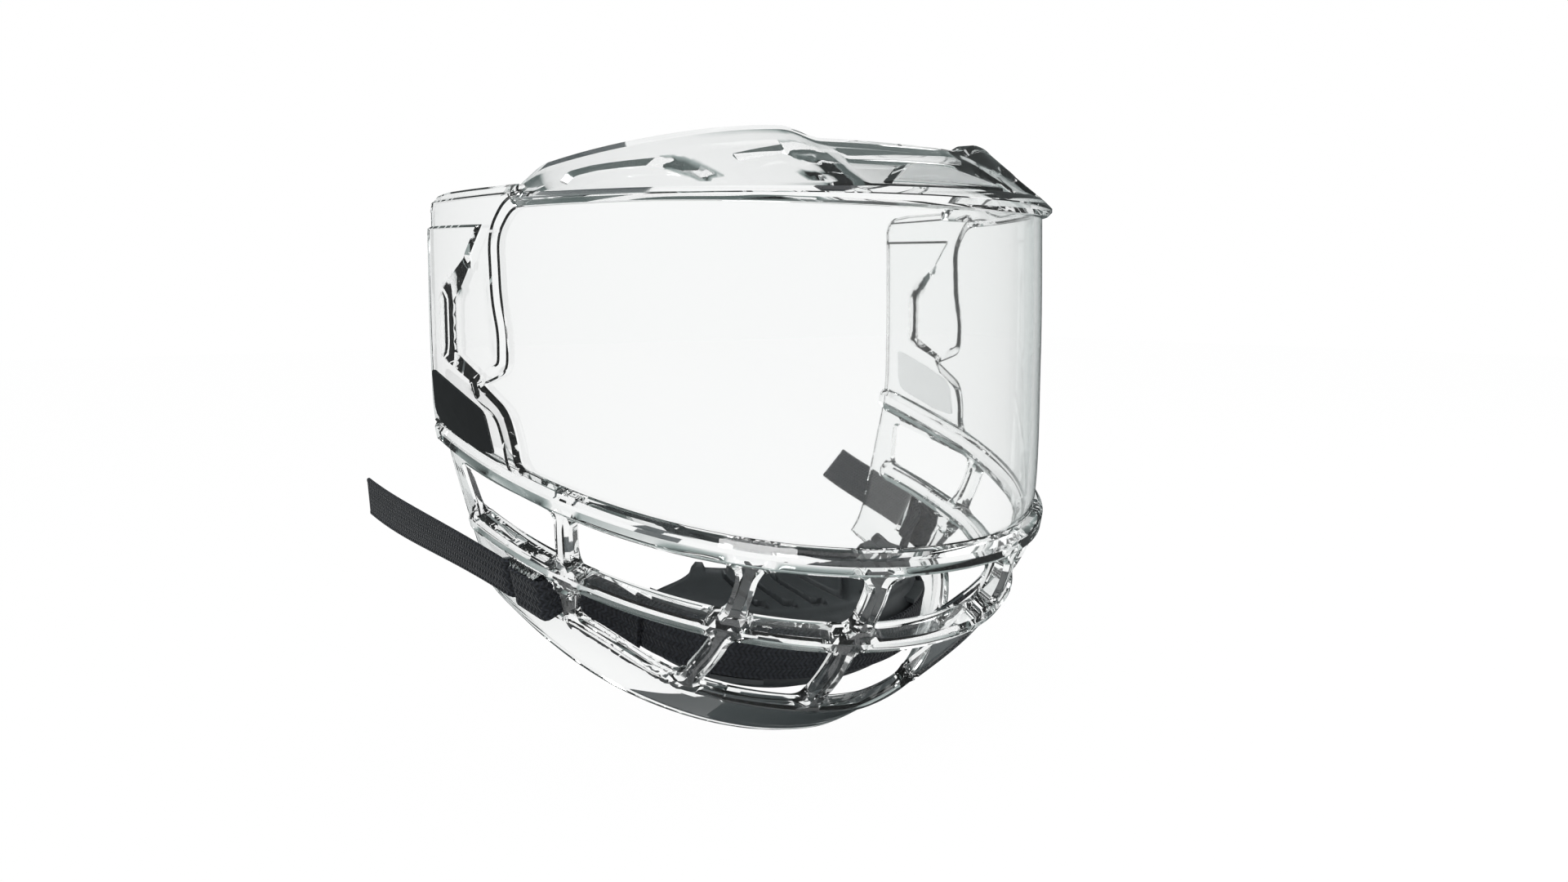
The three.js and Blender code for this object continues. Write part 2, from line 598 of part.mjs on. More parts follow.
// Webbing: flat bands, given by the points of their middle line and the way their width lies
function ribbon(points, ups, wide = WEBBING_WIDTH, thick = WEBBING_THICK) {
  const rings = points.map((point, k) => {
    const next = points[Math.min(k + 1, points.length - 1)];
    const back = points[Math.max(k - 1, 0)];
    const tangent = next.clone().sub(back).normalize();
    const face = ups[k].clone().cross(tangent).setLength(thick / 2);
    const up = tangent.clone().cross(face).setLength(wide / 2);
    const corner = (w, h) => point.clone().addScaledVector(up, w).addScaledVector(face, h);
    return [corner(-1, -1), corner(1, -1), corner(1, 1), corner(-1, 1)];
  });
  return loft(rings, [[-1, -1], [1, -1], [1, 1], [-1, 1]]);
}

// Chin cup: a smooth bowl through four rails, from its top edge over the ridge to its base
const CUP_SHARES = [
  { wide: 0.86, reach: 0.62, front: 0.36, rear: 0.42 },
  { wide: 1.00, reach: 1.00, front: 0.00, rear: 0.20 },
  { wide: 0.96, reach: 0.93, front: -0.43, rear: -0.2 },
  { wide: 0.66, reach: 0.55, front: -0.64, rear: -0.42 },
];
const CUP_SHAPE_SHARES = { square: 2.3, ease: 1.6 };
const CUP_STEP_SHARE = 0.2;
const CUP_STRAP_SHARES = { end: 0.92, down: 1.5, bridge: [0.33, 0.55], overrun: 0.1, anchor: 0.88 };
const CUP_SCALE = { round: CUP_HALF_WIDTH * 1.5, down: CUP_HEIGHT * 0.42 };
const CUP_CORNER_SHARES = { from: 0.7, top: 0.3, foot: 0.5 };
const GROOVE_SHARES = { places: [0.1, 0.22, 0.34, 0.46], lean: 0.1, top: 0.12, foot: 0.72 };

function cupPoint(round, down) {
  const { square, ease } = CUP_SHAPE_SHARES;
  const rails = CUP_SHARES.map((rail) => {
    const reach = (CUP_FRONT - CUP_BACK) * rail.reach;
    const [x, y] = planCurve(round, CUP_HALF_WIDTH * rail.wide, reach, square);
    const rise = mix(rail.front, rail.rear, Math.min(Math.abs(round), 1) ** ease);
    return vec(x, y - CUP_BACK, CUP_HEIGHT * rise - CUP_RIDGE_DROP);
  });
  return throughRails(rails, down);
}
const cupSkin = lifted(cupPoint, CUP_STEP_SHARE);

function groove(side, place) {
  const half = GROOVE_WIDTH / CUP_SCALE.round / 2;
  const { lean, top, foot } = GROOVE_SHARES;
  const head = side * place;
  const heel = side * (place - lean);
  const outline = [[head - half, top], [head + half, top], [heel + half, foot], [heel - half, foot]];
  return patch(cupSkin, CUP_SCALE, outline, -GROOVE_DEPTH, CUP_WALL);
}

function chinCup() {
  const foot = CUP_SHARES.length - 1;
  const columns = Array.from({ length: CUP_COLUMN_COUNT + 1 }, (_, k) => {
    const round = 2 * k / CUP_COLUMN_COUNT - 1;
    const corner = smooth((Math.abs(round) - CUP_CORNER_SHARES.from) / (1 - CUP_CORNER_SHARES.from));
    return [[round, CUP_CORNER_SHARES.top * corner], [round, foot - CUP_CORNER_SHARES.foot * corner]];
  });
  const shell = sheet(cupSkin, columns, CUP_ROW_COUNT, -CUP_WALL, 0);
  const grooves = GROOVE_SHARES.places.flatMap((place) => [groove(-1, place), groove(1, place)]);
  const sides = [-1, 1];
  const { bridge: [front, back], overrun } = CUP_STRAP_SHARES;
  const channel = 2 * SEAM + WEBBING_THICK;
  const blocks = sides.map((side) => {
    const wide = WEBBING_WIDTH + 4 * SEAM + 2 * BRIDGE_WALL;
    return cupBand(side * front, side * back, 2, -CUP_WALL / 2, channel + BRIDGE_WALL, wide);
  });
  const channels = sides.map((side) => {
    const wide = WEBBING_WIDTH + 4 * SEAM;
    return cupBand(side * (front - overrun), side * (back + overrun), 4, 0, channel, wide);
  });
  return cut(joined(cut(shell, ...grooves), ...blocks), ...channels);
}

// A band on the lower wall of the cup, between two places round it and two heights over it
function cupBand(from, to, steps, low, high, wide) {
  const places = Array.from({ length: steps + 1 }, (_, k) => mix(from, to, k / steps));
  const frames = places.map((round) => frameOf(cupPoint, round, CUP_STRAP_SHARES.down, CUP_STEP_SHARE / 10));
  const points = frames.map((frame) => frame.point.addScaledVector(frame.out, (low + high) / 2));
  return ribbon(points, frames.map((frame) => frame.up), wide, high - low);
}

function cupStrap() {
  const { end } = CUP_STRAP_SHARES;
  return cupBand(-end, end, CUP_COLUMN_COUNT, SEAM, SEAM + WEBBING_THICK);
}

const PAD_SHARES = { side: 0.9, top: 0.25, foot: 2.75 };

function chinPad() {
  const { side, top, foot } = PAD_SHARES;
  const middle = (top + foot) / 2;
  const crowned = (round, down, depth) => {
    const crown = (1 - (round / side) ** 4) * (1 - ((down - middle) / (foot - middle)) ** 4);
    const thick = mix(PAD_EDGE, PAD_THICK, Math.sqrt(clamp01(crown)));
    return cupSkin(round, down, -CUP_WALL - 2 * SEAM - depth * thick);
  };
  const edges = [-side, side].map((round) => [[round, top], [round, foot]]);
  return sheet(crowned, columnsThrough(edges, CUP_COLUMN_COUNT * side), CUP_ROW_COUNT - 2, 0, 1);
}

// Webbing laced through the cheeks
const POST_BOW = 0.6;          // how far the corners of the curved post lie behind its middle
const LOOP_BACK = GUARD_WALL + POST_BOW + SEAM + WEBBING_THICK;
const LOOP_END = POST_LENGTH / 2 + SEAM + WEBBING_THICK;

function postLoop() {
  const band = (Kind, inset) => roundedBox(
    Kind, inset - LOOP_END, LOOP_END - inset, inset - LOOP_BACK, LOOP_PROUD - inset, LOOP_CORNER - inset,
  );
  const shape = band(THREE.Shape, 0);
  shape.holes = [band(THREE.Path, WEBBING_THICK)];
  return acrossPost(shape, WEBBING_WIDTH);
}

// Spare webbing folded between the post and the loop, which shows as two bulges from above
function strapFold() {
  const half = POST_LENGTH / 2 - SEAM;
  const foot = SEAM + WEBBING_THICK / 2;
  const height = LOOP_PROUD - WEBBING_THICK - SEAM - foot;
  const shape = new THREE.Shape();
  shape.moveTo(-half, SEAM);
  shape.lineTo(half, SEAM);
  shape.absellipse(half / 2, foot, half / 2, height, 0, Math.PI);
  shape.absellipse(-half / 2, foot, half / 2, height, 0, Math.PI);
  return acrossPost(shape, WEBBING_WIDTH, FOLD_CURVE_COUNT);
}

// Tails leave the rear slots, fold back over the cheek and run free behind the visor
const TAIL_AXIS = LOOP_END + 2 * SEAM + WEBBING_THICK / 2;
const RIGHT_TAIL = { length: 124, rise: 16, flare: 8, ringCount: 14 };
const LEFT_TAIL = { length: 62, rise: 17, flare: 5, ringCount: 9 };

function tail({ length, rise, flare, ringCount }) {
  const points = [byPost(TAIL_AXIS, -GUARD_WALL / 2), byPost(TAIL_AXIS, SEAM)];
  for (let k = 1; k <= TAIL_BEND_COUNT; k += 1) {
    const angle = (k / TAIL_BEND_COUNT) * Math.PI / 2;
    const back = FOLD_RADIUS * (1 - Math.cos(angle));
    points.push(byPost(TAIL_AXIS + back, SEAM + FOLD_RADIUS * Math.sin(angle)));
  }
  const start = points[points.length - 1];
  const end = start.clone().add(vec(flare, length, rise));
  const pull = length / 3;
  const leave = start.clone().addScaledVector(post.along, pull);
  const free = new THREE.CubicBezierCurve3(start, leave, end.clone().sub(vec(0, pull, pull / 8)), end);
  for (let k = 1; k <= ringCount; k += 1) points.push(free.getPoint(k / ringCount));
  const upright = (k) => smooth((k - TAIL_BEND_COUNT) / ringCount);
  return ribbon(points, points.map((_, k) => post.up.clone().lerp(vec(0, 0, 1), upright(k))));
}

// The run behind the cheek, from the front slot to the side of the chin cup
function innerRun() {
  const depth = -LOOP_BACK - SEAM - WEBBING_THICK / 2;
  const cup = frameOf(cupPoint, CUP_STRAP_SHARES.anchor, CUP_STRAP_SHARES.down, CUP_STEP_SHARE / 10);
  const end = cup.point.addScaledVector(cup.out, 3 * SEAM + WEBBING_THICK * 1.5);
  const curve = new THREE.CubicBezierCurve3(
    byPost(POST_LENGTH / 4, depth), byPost(-POST_LENGTH / 2 - FRONT_SLOT, depth),
    end.clone().addScaledVector(cup.along, WEBBING_WIDTH), end,
  );
  const points = Array.from({ length: RUN_RING_COUNT + 1 }, (_, k) => curve.getPoint(k / RUN_RING_COUNT));
  return ribbon(points, points.map((_, k) => post.up.clone().lerp(cup.up, k / RUN_RING_COUNT)));
}

// Finishes
const finish = (color, roughness, more = {}) => {
  return new THREE.MeshStandardMaterial({ color, roughness, metalness: 0, ...more });
};
const clear = () => finish(0xdfe9e7, 0.08, { transparent: true, opacity: 0.35 });
const webbing = () => finish(0x15181d, 0.9);
const rubber = () => finish(0x1d2223, 0.6);
const foam = () => finish(0x24282a, 0.95);
const film = () => finish(0xdfe3e4, 0.4);

// The visor, put together
const visor = new THREE.Group();
visor.position.set(0, CREST_DEPTH - CREST_EDGE - LAND_WIDTH / 2, -LAND_HEIGHT);

function addNode(name, material, geometry) {
  const mesh = new THREE.Mesh(geometry, material);
  mesh.name = name;
  visor.add(mesh);
}
const addLeft = (name, material, part) => addNode(`left_${name}`, material, geometryOf(part));
const addRight = (name, material, part) => addNode(`right_${name}`, material, mirrored(geometryOf(part)));

function addPair(name, material, part) {
  addLeft(name, material(), part);
  addRight(name, material(), part);
}

addNode('brow', clear(), geometryOf(brow()));
addNode('lens', clear(), geometryOf(lens()));
addNode('top_bar', clear(), geometryOf(topBar(0)));
addNode('middle_bar', clear(), geometryOf(middleBar(0)));
addNode('chin_guard', clear(), geometryOf(chinGuard(0)));
addPair('temple', clear, temple());
addPair('cheek_panel', clear, cheekPanel());
for (const [name, ...place] of RIB_SHARES) addPair(name, clear, rib(...place));
addNode('chin_cup', rubber(), geometryOf(chinCup()));
addNode('chin_pad', foam(), geometryOf(chinPad()));
addNode('cup_strap', webbing(), geometryOf(cupStrap()));
addPair('strap_run', webbing, innerRun());
addPair('strap_loop', webbing, postLoop());
addPair('strap_fold', webbing, strapFold());
addLeft('strap_tail', webbing(), tail(LEFT_TAIL));
addRight('strap_tail', webbing(), tail(RIGHT_TAIL));
addRight('badge', finish(0x14171a, 0.45), badge());
addLeft('label', film(), sideLabel());
addNode('brow_label', film(), geometryOf(browLabel()));

export default visor;
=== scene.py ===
import math

import bmesh
import bpy
import numpy as np
from mathutils import Matrix, Vector
from mathutils.geometry import delaunay_2d_cdt
from mathutils.kdtree import KDTree


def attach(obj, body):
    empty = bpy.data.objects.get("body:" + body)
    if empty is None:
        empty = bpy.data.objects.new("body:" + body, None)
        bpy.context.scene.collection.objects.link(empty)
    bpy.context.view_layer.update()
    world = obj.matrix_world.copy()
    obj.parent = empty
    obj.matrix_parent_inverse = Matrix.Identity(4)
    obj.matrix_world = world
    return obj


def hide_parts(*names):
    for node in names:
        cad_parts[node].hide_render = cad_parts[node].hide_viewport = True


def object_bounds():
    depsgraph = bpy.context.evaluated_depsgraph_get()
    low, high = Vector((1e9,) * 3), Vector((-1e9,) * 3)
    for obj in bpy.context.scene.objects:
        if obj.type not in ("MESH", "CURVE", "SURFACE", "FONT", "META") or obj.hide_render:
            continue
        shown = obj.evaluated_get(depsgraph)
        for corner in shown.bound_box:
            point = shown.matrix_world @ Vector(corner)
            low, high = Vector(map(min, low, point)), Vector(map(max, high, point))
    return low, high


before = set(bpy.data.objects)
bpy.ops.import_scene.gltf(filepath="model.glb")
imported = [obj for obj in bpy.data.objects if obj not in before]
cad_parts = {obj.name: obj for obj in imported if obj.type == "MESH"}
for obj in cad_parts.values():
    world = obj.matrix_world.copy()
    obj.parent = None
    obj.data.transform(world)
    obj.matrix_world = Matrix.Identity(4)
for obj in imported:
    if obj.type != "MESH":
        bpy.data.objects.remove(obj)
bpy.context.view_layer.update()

# The skin of the moulding, in millimetres in the shield's own frame: x across, the front along -Y
# and the ledge line at height zero. A place on it is a share round it, -1 to 1 with the wearer's
# left positive, and a rail down it.
MM = 0.001
OFFSET = np.array([0.0, 118.0, -22.8])
HALF_WIDTH, DEPTH, CHIN_DROP = 104.0, 146.0, 176.0
# Shares of width and depth, set back, drop in front and at the rear, squareness, ease of the drop
RAILS = [
    (1.000, 1.000, 0.000, -0.057, -0.057, 2.25, 1.0),
    (1.005, 1.017, 0.000, 0.256, 0.256, 2.20, 1.0),
    (0.990, 1.024, 0.000, 0.580, 0.398, 2.10, 2.1),
    (0.913, 0.914, 0.000, 0.753, 0.585, 2.15, 1.7),
    (0.861, 0.716, 0.000, 0.909, 0.688, 2.05, 1.5),
    (0.820, 0.582, 0.021, 1.000, 0.750, 2.90, 1.1),
]
RAIL_LENGTH = 37.0
TOP_BAR, MIDDLE_BAR, EDGE = 2.0, 2.86, 5.0
LENS_WALL, GUARD_WALL, GUARD_FROM = 2.6, 2.8, 2.4
BAR_HALF, BAR_PROUD, BAR_ROOT, BAR_CHAMFER = 3.6, 3.4, 5.2, 1.6
BAR_EDGE, BAR_WALL = 3.9, 4.3
BAR_FLAT = BAR_HALF - BAR_CHAMFER
RIB_HALF, RIB_PROUD, RIB_ROOT, RIB_CHAMFER = 3.2, 2.4, 4.6, 1.4
RIM_HALF, RIM_PROUD, RIM_ROOT, RIM_CHAMFER = 2.8, 2.0, 3.6, 1.4
RIM_EDGE, RIM_WALL = 3.1, 3.6
BAND_RAISE, PLATE_RAISE, POCKET_FLOOR = 1.6, 3.0, 1.0
BAND_STEPS = [(0, 0), (0.6, 0.55), (3.4, 1.0), (4.0, BAND_RAISE)]
PLATE_BEVEL = 0.9
SLOT_ROUND, BORDER_ROUND, ROUND_DROP = 0.8, 0.7, 0.5
BROW_TIP = 0.772
WEBBING_HALF, WEBBING_THICK = 8.0, 1.6
STEP = 1e-3
LINE_STEP, CORNER_STEP = 1.3, 0.9
TINY = 1e-9


def smooth(x):
    x = np.clip(x, 0, 1)
    return x * x * (3 - 2 * x)


def mix(a, b, s):
    return a + (b - a) * s


def stack(*parts):
    return np.stack(parts, -1)


def unit(a):
    return a / np.maximum(np.linalg.norm(a, axis=-1, keepdims=True), TINY)


def numbers(*values):
    return [np.atleast_1d(a).astype(float) for a in np.broadcast_arrays(*values)]


def lengths(points):
    """Length along a line up to each of its points."""
    return np.concatenate([[0], np.cumsum(np.linalg.norm(np.diff(points, axis=0), axis=1))])


def bend(enter, corner, leave, s):
    return (1 - s) ** 2 * enter + 2 * s * (1 - s) * corner + s**2 * leave


def plan_curve(t, half_width, depth, square):
    angle = np.minimum(np.abs(t), 1) * np.pi / 2
    past = np.maximum(np.abs(t) - 1, 0) * depth
    x = np.sign(t) * half_width * np.sin(angle) ** (2 / square)
    return x, past - depth * np.maximum(np.cos(angle), 0) ** (2 / square)


def through_rails(rails, v):
    """Smooth curves across rails of points, which run straight on past the last rails."""
    last = len(rails) - 1
    within = np.clip(v, 0, last)
    i = np.minimum(np.floor(within).astype(int), last - 1)
    s = (within - i)[:, None]
    k = np.arange(rails.shape[1])
    b, c = rails[i, k], rails[i + 1, k]
    a = np.where((i > 0)[:, None], rails[np.maximum(i - 1, 0), k], 2 * b - c)
    d = np.where((i < last - 1)[:, None], rails[np.minimum(i + 2, last), k], 2 * c - b)
    point = (-s + 2 * s**2 - s**3) / 2 * a + (2 - 5 * s**2 + 3 * s**3) / 2 * b
    point += (s + 4 * s**2 - 3 * s**3) / 2 * c + (s**3 - s**2) / 2 * d
    return point + (c - b) * (v - within)[:, None]


def skin(t, v):
    t, v = numbers(t, v)
    rails = []
    for wide, deep, back, front, rear, square, ease in RAILS:
        x, y = plan_curve(t, HALF_WIDTH * wide, DEPTH * deep, square)
        drop = front + (rear - front) * np.minimum(np.abs(t), 1) ** ease
        rails.append(stack(x, y + DEPTH * back, -CHIN_DROP * drop))
    return through_rails(np.stack(rails), v)


def axes(t, v):
    along = (skin(t + STEP, v) - skin(t - STEP, v)) / (2 * STEP)
    drop = (skin(t, v + STEP) - skin(t, v - STEP)) / (2 * STEP)
    return along, drop, unit(np.cross(drop, along))


def lift(tv, height):
    return skin(*tv.T) + axes(*tv.T)[2] * np.reshape(height, (-1, 1))


def metric(tv):
    along, drop, _ = axes(*tv.T)
    return (along * along).sum(-1), (along * drop).sum(-1), (drop * drop).sum(-1)


def nearest_place(target, tv):
    """Places on the skin under some points, from a first guess."""
    tv = np.array(tv, float)
    for _ in range(6):
        along, drop, _ = axes(*tv.T)
        gap = target - skin(*tv.T)
        e, f, g = metric(tv)
        p, q = (along * gap).sum(-1), (drop * gap).sum(-1)
        det = e * g - f * f
        tv += stack((g * p - f * q) / det, (e * q - f * p) / det)
    return tv


# Lines on the skin, as arrays of places
def dense(points, step=LINE_STEP):
    """The line through some places, with a point every step or so."""
    points = np.array(points, float)
    out = [points[:1]]
    for a, b in zip(points[:-1], points[1:]):
        count = max(math.ceil(np.linalg.norm(skin(*a) - skin(*b)) / step), 1)
        s = (np.arange(count) + 1)[:, None] / count
        out.append(a + (b - a) * s)
    return np.concatenate(out)


def loop(sides, radii):
    """Closed line of sides joined end to end, with each joint rounded."""
    most, shortest = 0.48, 0.4
    sides = [dense(side) for side in sides]
    trimmed_sides = []
    for k, side in enumerate(sides):
        run = lengths(skin(*side.T))
        r0 = min(radii[k], run[-1] * most)
        r1 = min(radii[(k + 1) % len(sides)], run[-1] * most)
        at = np.linspace(r0, run[-1] - r1, max(int((run[-1] - r0 - r1) / LINE_STEP), 2))
        trimmed_sides.append(stack(*(np.interp(at, run, column) for column in side.T)))
    out = []
    for k, side in enumerate(trimmed_sides):
        out.append(side)
        enter, leave = side[-1], trimmed_sides[(k + 1) % len(sides)][0]
        length = np.linalg.norm(skin(*enter) - skin(*leave))
        if length >= shortest:
            count = max(int(length / CORNER_STEP), 3)
            out.append(bend(enter, sides[k][-1], leave, (np.arange(1, count) / count)[:, None]))
    line = np.concatenate(out)
    return line[np.linalg.norm(line - np.roll(line, 1, 0), axis=1) > 1e-6]


def ring(corners, radii):
    """Closed line through some corners, each rounded."""
    return loop([[a, b] for a, b in zip(corners, corners[1:] + corners[:1])], radii)


def offset(line, distance, closed=True):
    """The line moved sideways on the skin: out of a closed one, or down from an open one."""
    if closed:
        run = np.roll(line, -1, 0) - np.roll(line, 1, 0)
        x, y = line.T
        turn = np.sign(np.sum(x * np.roll(y, -1) - np.roll(x, -1) * y))
    else:
        run = np.gradient(line, axis=0)
        turn = -1.0
    e, f, g = metric(line)
    side = stack(f * run[:, 0] + g * run[:, 1], -(e * run[:, 0] + f * run[:, 1])) * turn
    size = np.sqrt(e * side[:, 0] ** 2 + 2 * f * side[:, 0] * side[:, 1] + g * side[:, 1] ** 2)
    step = side / size[:, None] * distance
    start = skin(*line.T)
    for _ in range(3):
        reached = np.linalg.norm(skin(*(line + step).T) - start, axis=1)
        step *= (abs(distance) / np.maximum(reached, 1e-6))[:, None]
    return line + step


def mirror(line):
    return (np.array(line) * [-1, 1])[::-1]


def both(lines):
    return [twin for line in lines for twin in (line, mirror(line))]


def inside(tv, line):
    """Which places lie inside a closed line."""
    x, y = tv.T
    found = np.zeros(len(tv), bool)
    low, high = line.min(0), line.max(0)
    box = (x > low[0]) & (x < high[0]) & (y > low[1]) & (y < high[1])
    x, y = x[box, None], y[box, None]
    a, b = line, np.roll(line, -1, 0)
    cross = (a[:, 1] > y) != (b[:, 1] > y)
    with np.errstate(divide="ignore", invalid="ignore"):
        at = a[:, 0] + (y - a[:, 1]) / (b[:, 1] - a[:, 1]) * (b[:, 0] - a[:, 0])
    found[box] = (cross & (x < at)).sum(1) % 2 == 1
    return found


def to_segments(points, a, b):
    """Distance from each point to the nearest of the segments from a to b."""
    run = b - a
    gap = points[:, None] - a
    s = np.clip((gap * run).sum(-1) / np.maximum((run * run).sum(1), TINY), 0, 1)
    return np.linalg.norm(gap - s[..., None] * run, axis=-1).min(1)


def to_closed(points, line):
    return to_segments(points, line, np.roll(line, -1, 0))


FAR = 14.0
PAIRS_AT_ONCE = 2_000_000


def far(points, line, closed=True):
    """Distance from points in space to a line on the skin, up to FAR."""
    nodes = skin(*line.T)
    a = nodes if closed else nodes[:-1]
    b = np.roll(nodes, -1, 0) if closed else nodes[1:]
    out = np.full(len(points), FAR)
    near = np.all((points > nodes.min(0) - FAR) & (points < nodes.max(0) + FAR), axis=1)
    index = np.nonzero(near)[0]
    for part in np.array_split(index, max(len(index) * len(a) // PAIRS_AT_ONCE, 1)):
        out[part] = np.minimum(to_segments(points[part], a, b), FAR)
    return out


def outline(points, scale=(2 * HALF_WIDTH, RAIL_LENGTH)):
    """A closed line of [share, rail, corner share] points, as the solids have it."""
    scale = np.array(scale)
    at = np.array([p[:2] for p in points]) * scale
    line = []
    for k, p in enumerate(points):
        here, before, after = at[k], at[k - 1], at[(k + 1) % len(at)]
        if len(p) < 3:
            line.append(here)
            continue
        to_before, to_after = (np.linalg.norm(here - other) for other in (before, after))
        reach = p[2] * min(to_before, to_after) / 2
        enter = here + (before - here) / max(to_before, TINY) * reach
        leave = here + (after - here) / max(to_after, TINY) * reach
        line.extend(bend(enter, here, leave, np.linspace(0, 1, 9)[:, None]))
    return np.array(line) / scale


def area(points):
    line = outline(points)
    return dense(np.concatenate([line, line[:1]]))[:-1]


# Openings of the grille
RIM_FRONT, RIM_REAR, RIM_TURN, RIM_TURN_RUN = 4.05, 3.62, 0.4, 0.3
# Share and rail of each rib's head and foot
RIBS = {
    "front": (0.156, 2.0, 0.166, 2.86), "side": (0.378, 2.0, 0.405, 2.86),
    "rear": (0.700, 2.0, 0.722, 2.86), "low_front": (0.172, 2.86, 0.150, 4.05),
    "low_side": (0.405, 2.86, 0.438, 4.05),
}
UPPER_TOP, UPPER_FOOT, LOWER_TOP, LOWER_GUESS = 2.104, 2.755, 2.966, 3.9
LOWER_END = 0.703
WINDOW_CORNER = 5.5


def moved(t, v, axis, distance):
    """How far a distance along one of the skin's two directions is, in shares or in rails."""
    return distance / float(np.sqrt(metric(np.array([[t, v]]))[axis])[0])


def rim_rail(t):
    return mix(RIM_FRONT, RIM_REAR, smooth((np.abs(t) - RIM_TURN) / RIM_TURN_RUN))


def flank(rib, side):
    """The share beside a rib at any rail. Side -1 is nearer the middle."""
    t0, v0, t1, v1 = RIBS[rib]

    def at(v):
        t = mix(t0, t1, (v - v0) / (v1 - v0))
        return t + moved(t, v, 0, side * RIB_HALF)
    return at


def upper_window(left, right):
    corners = [(left(UPPER_TOP), UPPER_TOP), (right(UPPER_TOP), UPPER_TOP)]
    corners += [(right(UPPER_FOOT), UPPER_FOOT), (left(UPPER_FOOT), UPPER_FOOT)]
    return ring(corners, [WINDOW_CORNER] * 4)


def lower_window(left, right):
    def foot(t):
        rail = float(rim_rail(t))
        return rail + moved(t, rail, 2, -RIM_HALF)
    ends = [side(foot(side(LOWER_GUESS))) for side in (right, left)]
    low = [(t, foot(t)) for t in np.linspace(*ends, 24)]
    head = [(left(LOWER_TOP), LOWER_TOP), (right(LOWER_TOP), LOWER_TOP)]
    return loop([head, [head[1], low[0]], low, [low[-1], head[0]]], [WINDOW_CORNER] * 4)


def middle_window(window, rib):
    edge = flank(rib, -1)
    return window(lambda v: -edge(v), edge)


rear_flank = flank("rear", 1)
rear_window = ring([(rear_flank(UPPER_TOP), UPPER_TOP + 0.015), (0.9665, 2.24), (0.9515, 2.745),
                    (rear_flank(UPPER_FOOT), UPPER_FOOT)], [4.5, 4.5, 4.0, 4.5])
windows = [middle_window(upper_window, "front"), middle_window(lower_window, "low_front")]
windows += both([
    upper_window(flank("front", 1), flank("side", -1)),
    upper_window(flank("side", 1), flank("rear", -1)),
    rear_window,
    lower_window(flank("low_front", 1), flank("low_side", -1)),
    lower_window(flank("low_side", 1), lambda v: LOWER_END),
])

# The post between the strap slots of a cheek lies below the middle bar
POST_SHARE = 0.8
POST_GAP, SLOT_PLAY, SLOT_CORNER = 1.4, 0.6, 0.9
REAR_SLOT, FRONT_SLOT = (7, 13), (-11, -7)
post_rail = MIDDLE_BAR
drop_left = BAR_HALF + POST_GAP + SLOT_PLAY + WEBBING_HALF
while drop_left > 0:
    drop_left -= np.linalg.norm(skin(POST_SHARE, post_rail) - skin(POST_SHARE, post_rail + STEP))
    post_rail += STEP
post_along, _, post_out = (a[0] for a in axes(POST_SHARE, post_rail))
post_point = skin(POST_SHARE, post_rail)[0]
post_along = unit(post_along)
post_up = np.cross(post_out, post_along)


def by_post(along, out, up=0.0):
    return post_point + along * post_along + out * post_out + up * post_up


def slot_line(low, high):
    half = WEBBING_HALF + SLOT_PLAY
    points = [by_post(a, 0, u) for a, u in ((low, half), (high, half), (high, -half), (low, -half))]
    places = nearest_place(np.array(points), np.tile([POST_SHARE, post_rail], (4, 1)))
    return ring(list(places), [SLOT_CORNER] * 4)


slots = both([slot_line(*REAR_SLOT), slot_line(*FRONT_SLOT)])

# Outlines on the temples, as in the solids
LENS_EDGE = [(0.745, 0.115), (0.79, 0.135, 0.8), (0.822, 0.27, 0.8), (0.817, 0.60, 0.8),
             (0.803, 0.8, 0.8), (0.805, 1.06, 0.8)]
CHEEK_CURVE = [(0.807, 1.36, 0.9), (0.79, 1.6, 0.9), (0.784, 1.84, 0.8), (0.74, 1.95), (0.74, 2)]
band_area = area([(1.02, -0.02), (0.70, -0.02), (0.70, 0.10)] + LENS_EDGE + [(0.867, 1.181)]
                 + CHEEK_CURVE + [(1.02, 2)])
plate_area = area([(1.02, 0.182), (0.852, 0.203), (0.886, 0.364), (0.867, 1.181)] + CHEEK_CURVE
                  + [(1.02, 2)])
pocket_area = area([(0.886, 0.364, 0.2), (0.843, 0.44, 0.2), (0.822, 1.0, 0.2),
                    (0.867, 1.181, 0.1), (0.96, 0.975, 0.2), (0.96, 0.549, 0.2)])
pocket_field = area([(0.893, 0.43), (0.853, 0.49), (0.835, 0.985), (0.869, 1.10), (0.930, 0.945),
                     (0.930, 0.60)])

SHEET_TOP, SHEET_END = 0.06, 0.965
right_edge = dense([
    (BROW_TIP, SHEET_TOP), (BROW_TIP, 0.0), (0.955, 0), (0.985, 0.012), (0.996, 0.045), (1, 0.11),
    (1, 4.8), (0.99, 4.93), (SHEET_END, EDGE),
])


def rail_line(rail_of, start, end, count, step):
    return dense([(t, float(rail_of(t))) for t in np.linspace(start, end, count)], step)


bottom = rail_line(lambda t: EDGE, SHEET_END, -SHEET_END, 120, LINE_STEP)
top = rail_line(lambda t: SHEET_TOP, -BROW_TIP, BROW_TIP, 100, 1.5)
boundary = np.concatenate([right_edge, bottom[1:-1], mirror(right_edge), top[1:-1]])
centre_top = rail_line(lambda t: TOP_BAR, -1, 1, 160, 1.5)
centre_middle = rail_line(lambda t: MIDDLE_BAR, -0.955, 0.955, 160, 1.5)
centre_rim = rail_line(rim_rail, -0.7, 0.7, 120, 1.5)

# The skin laid out flat, for one triangulation that both faces share
share_scale = np.linspace(-1.05, 1.05, 2101)
run_length = lengths(skin(share_scale, TOP_BAR))
run_length -= np.interp(0, share_scale, run_length)


def to_plane(tv):
    return stack(np.interp(tv[:, 0], share_scale, run_length), tv[:, 1] * RAIL_LENGTH)


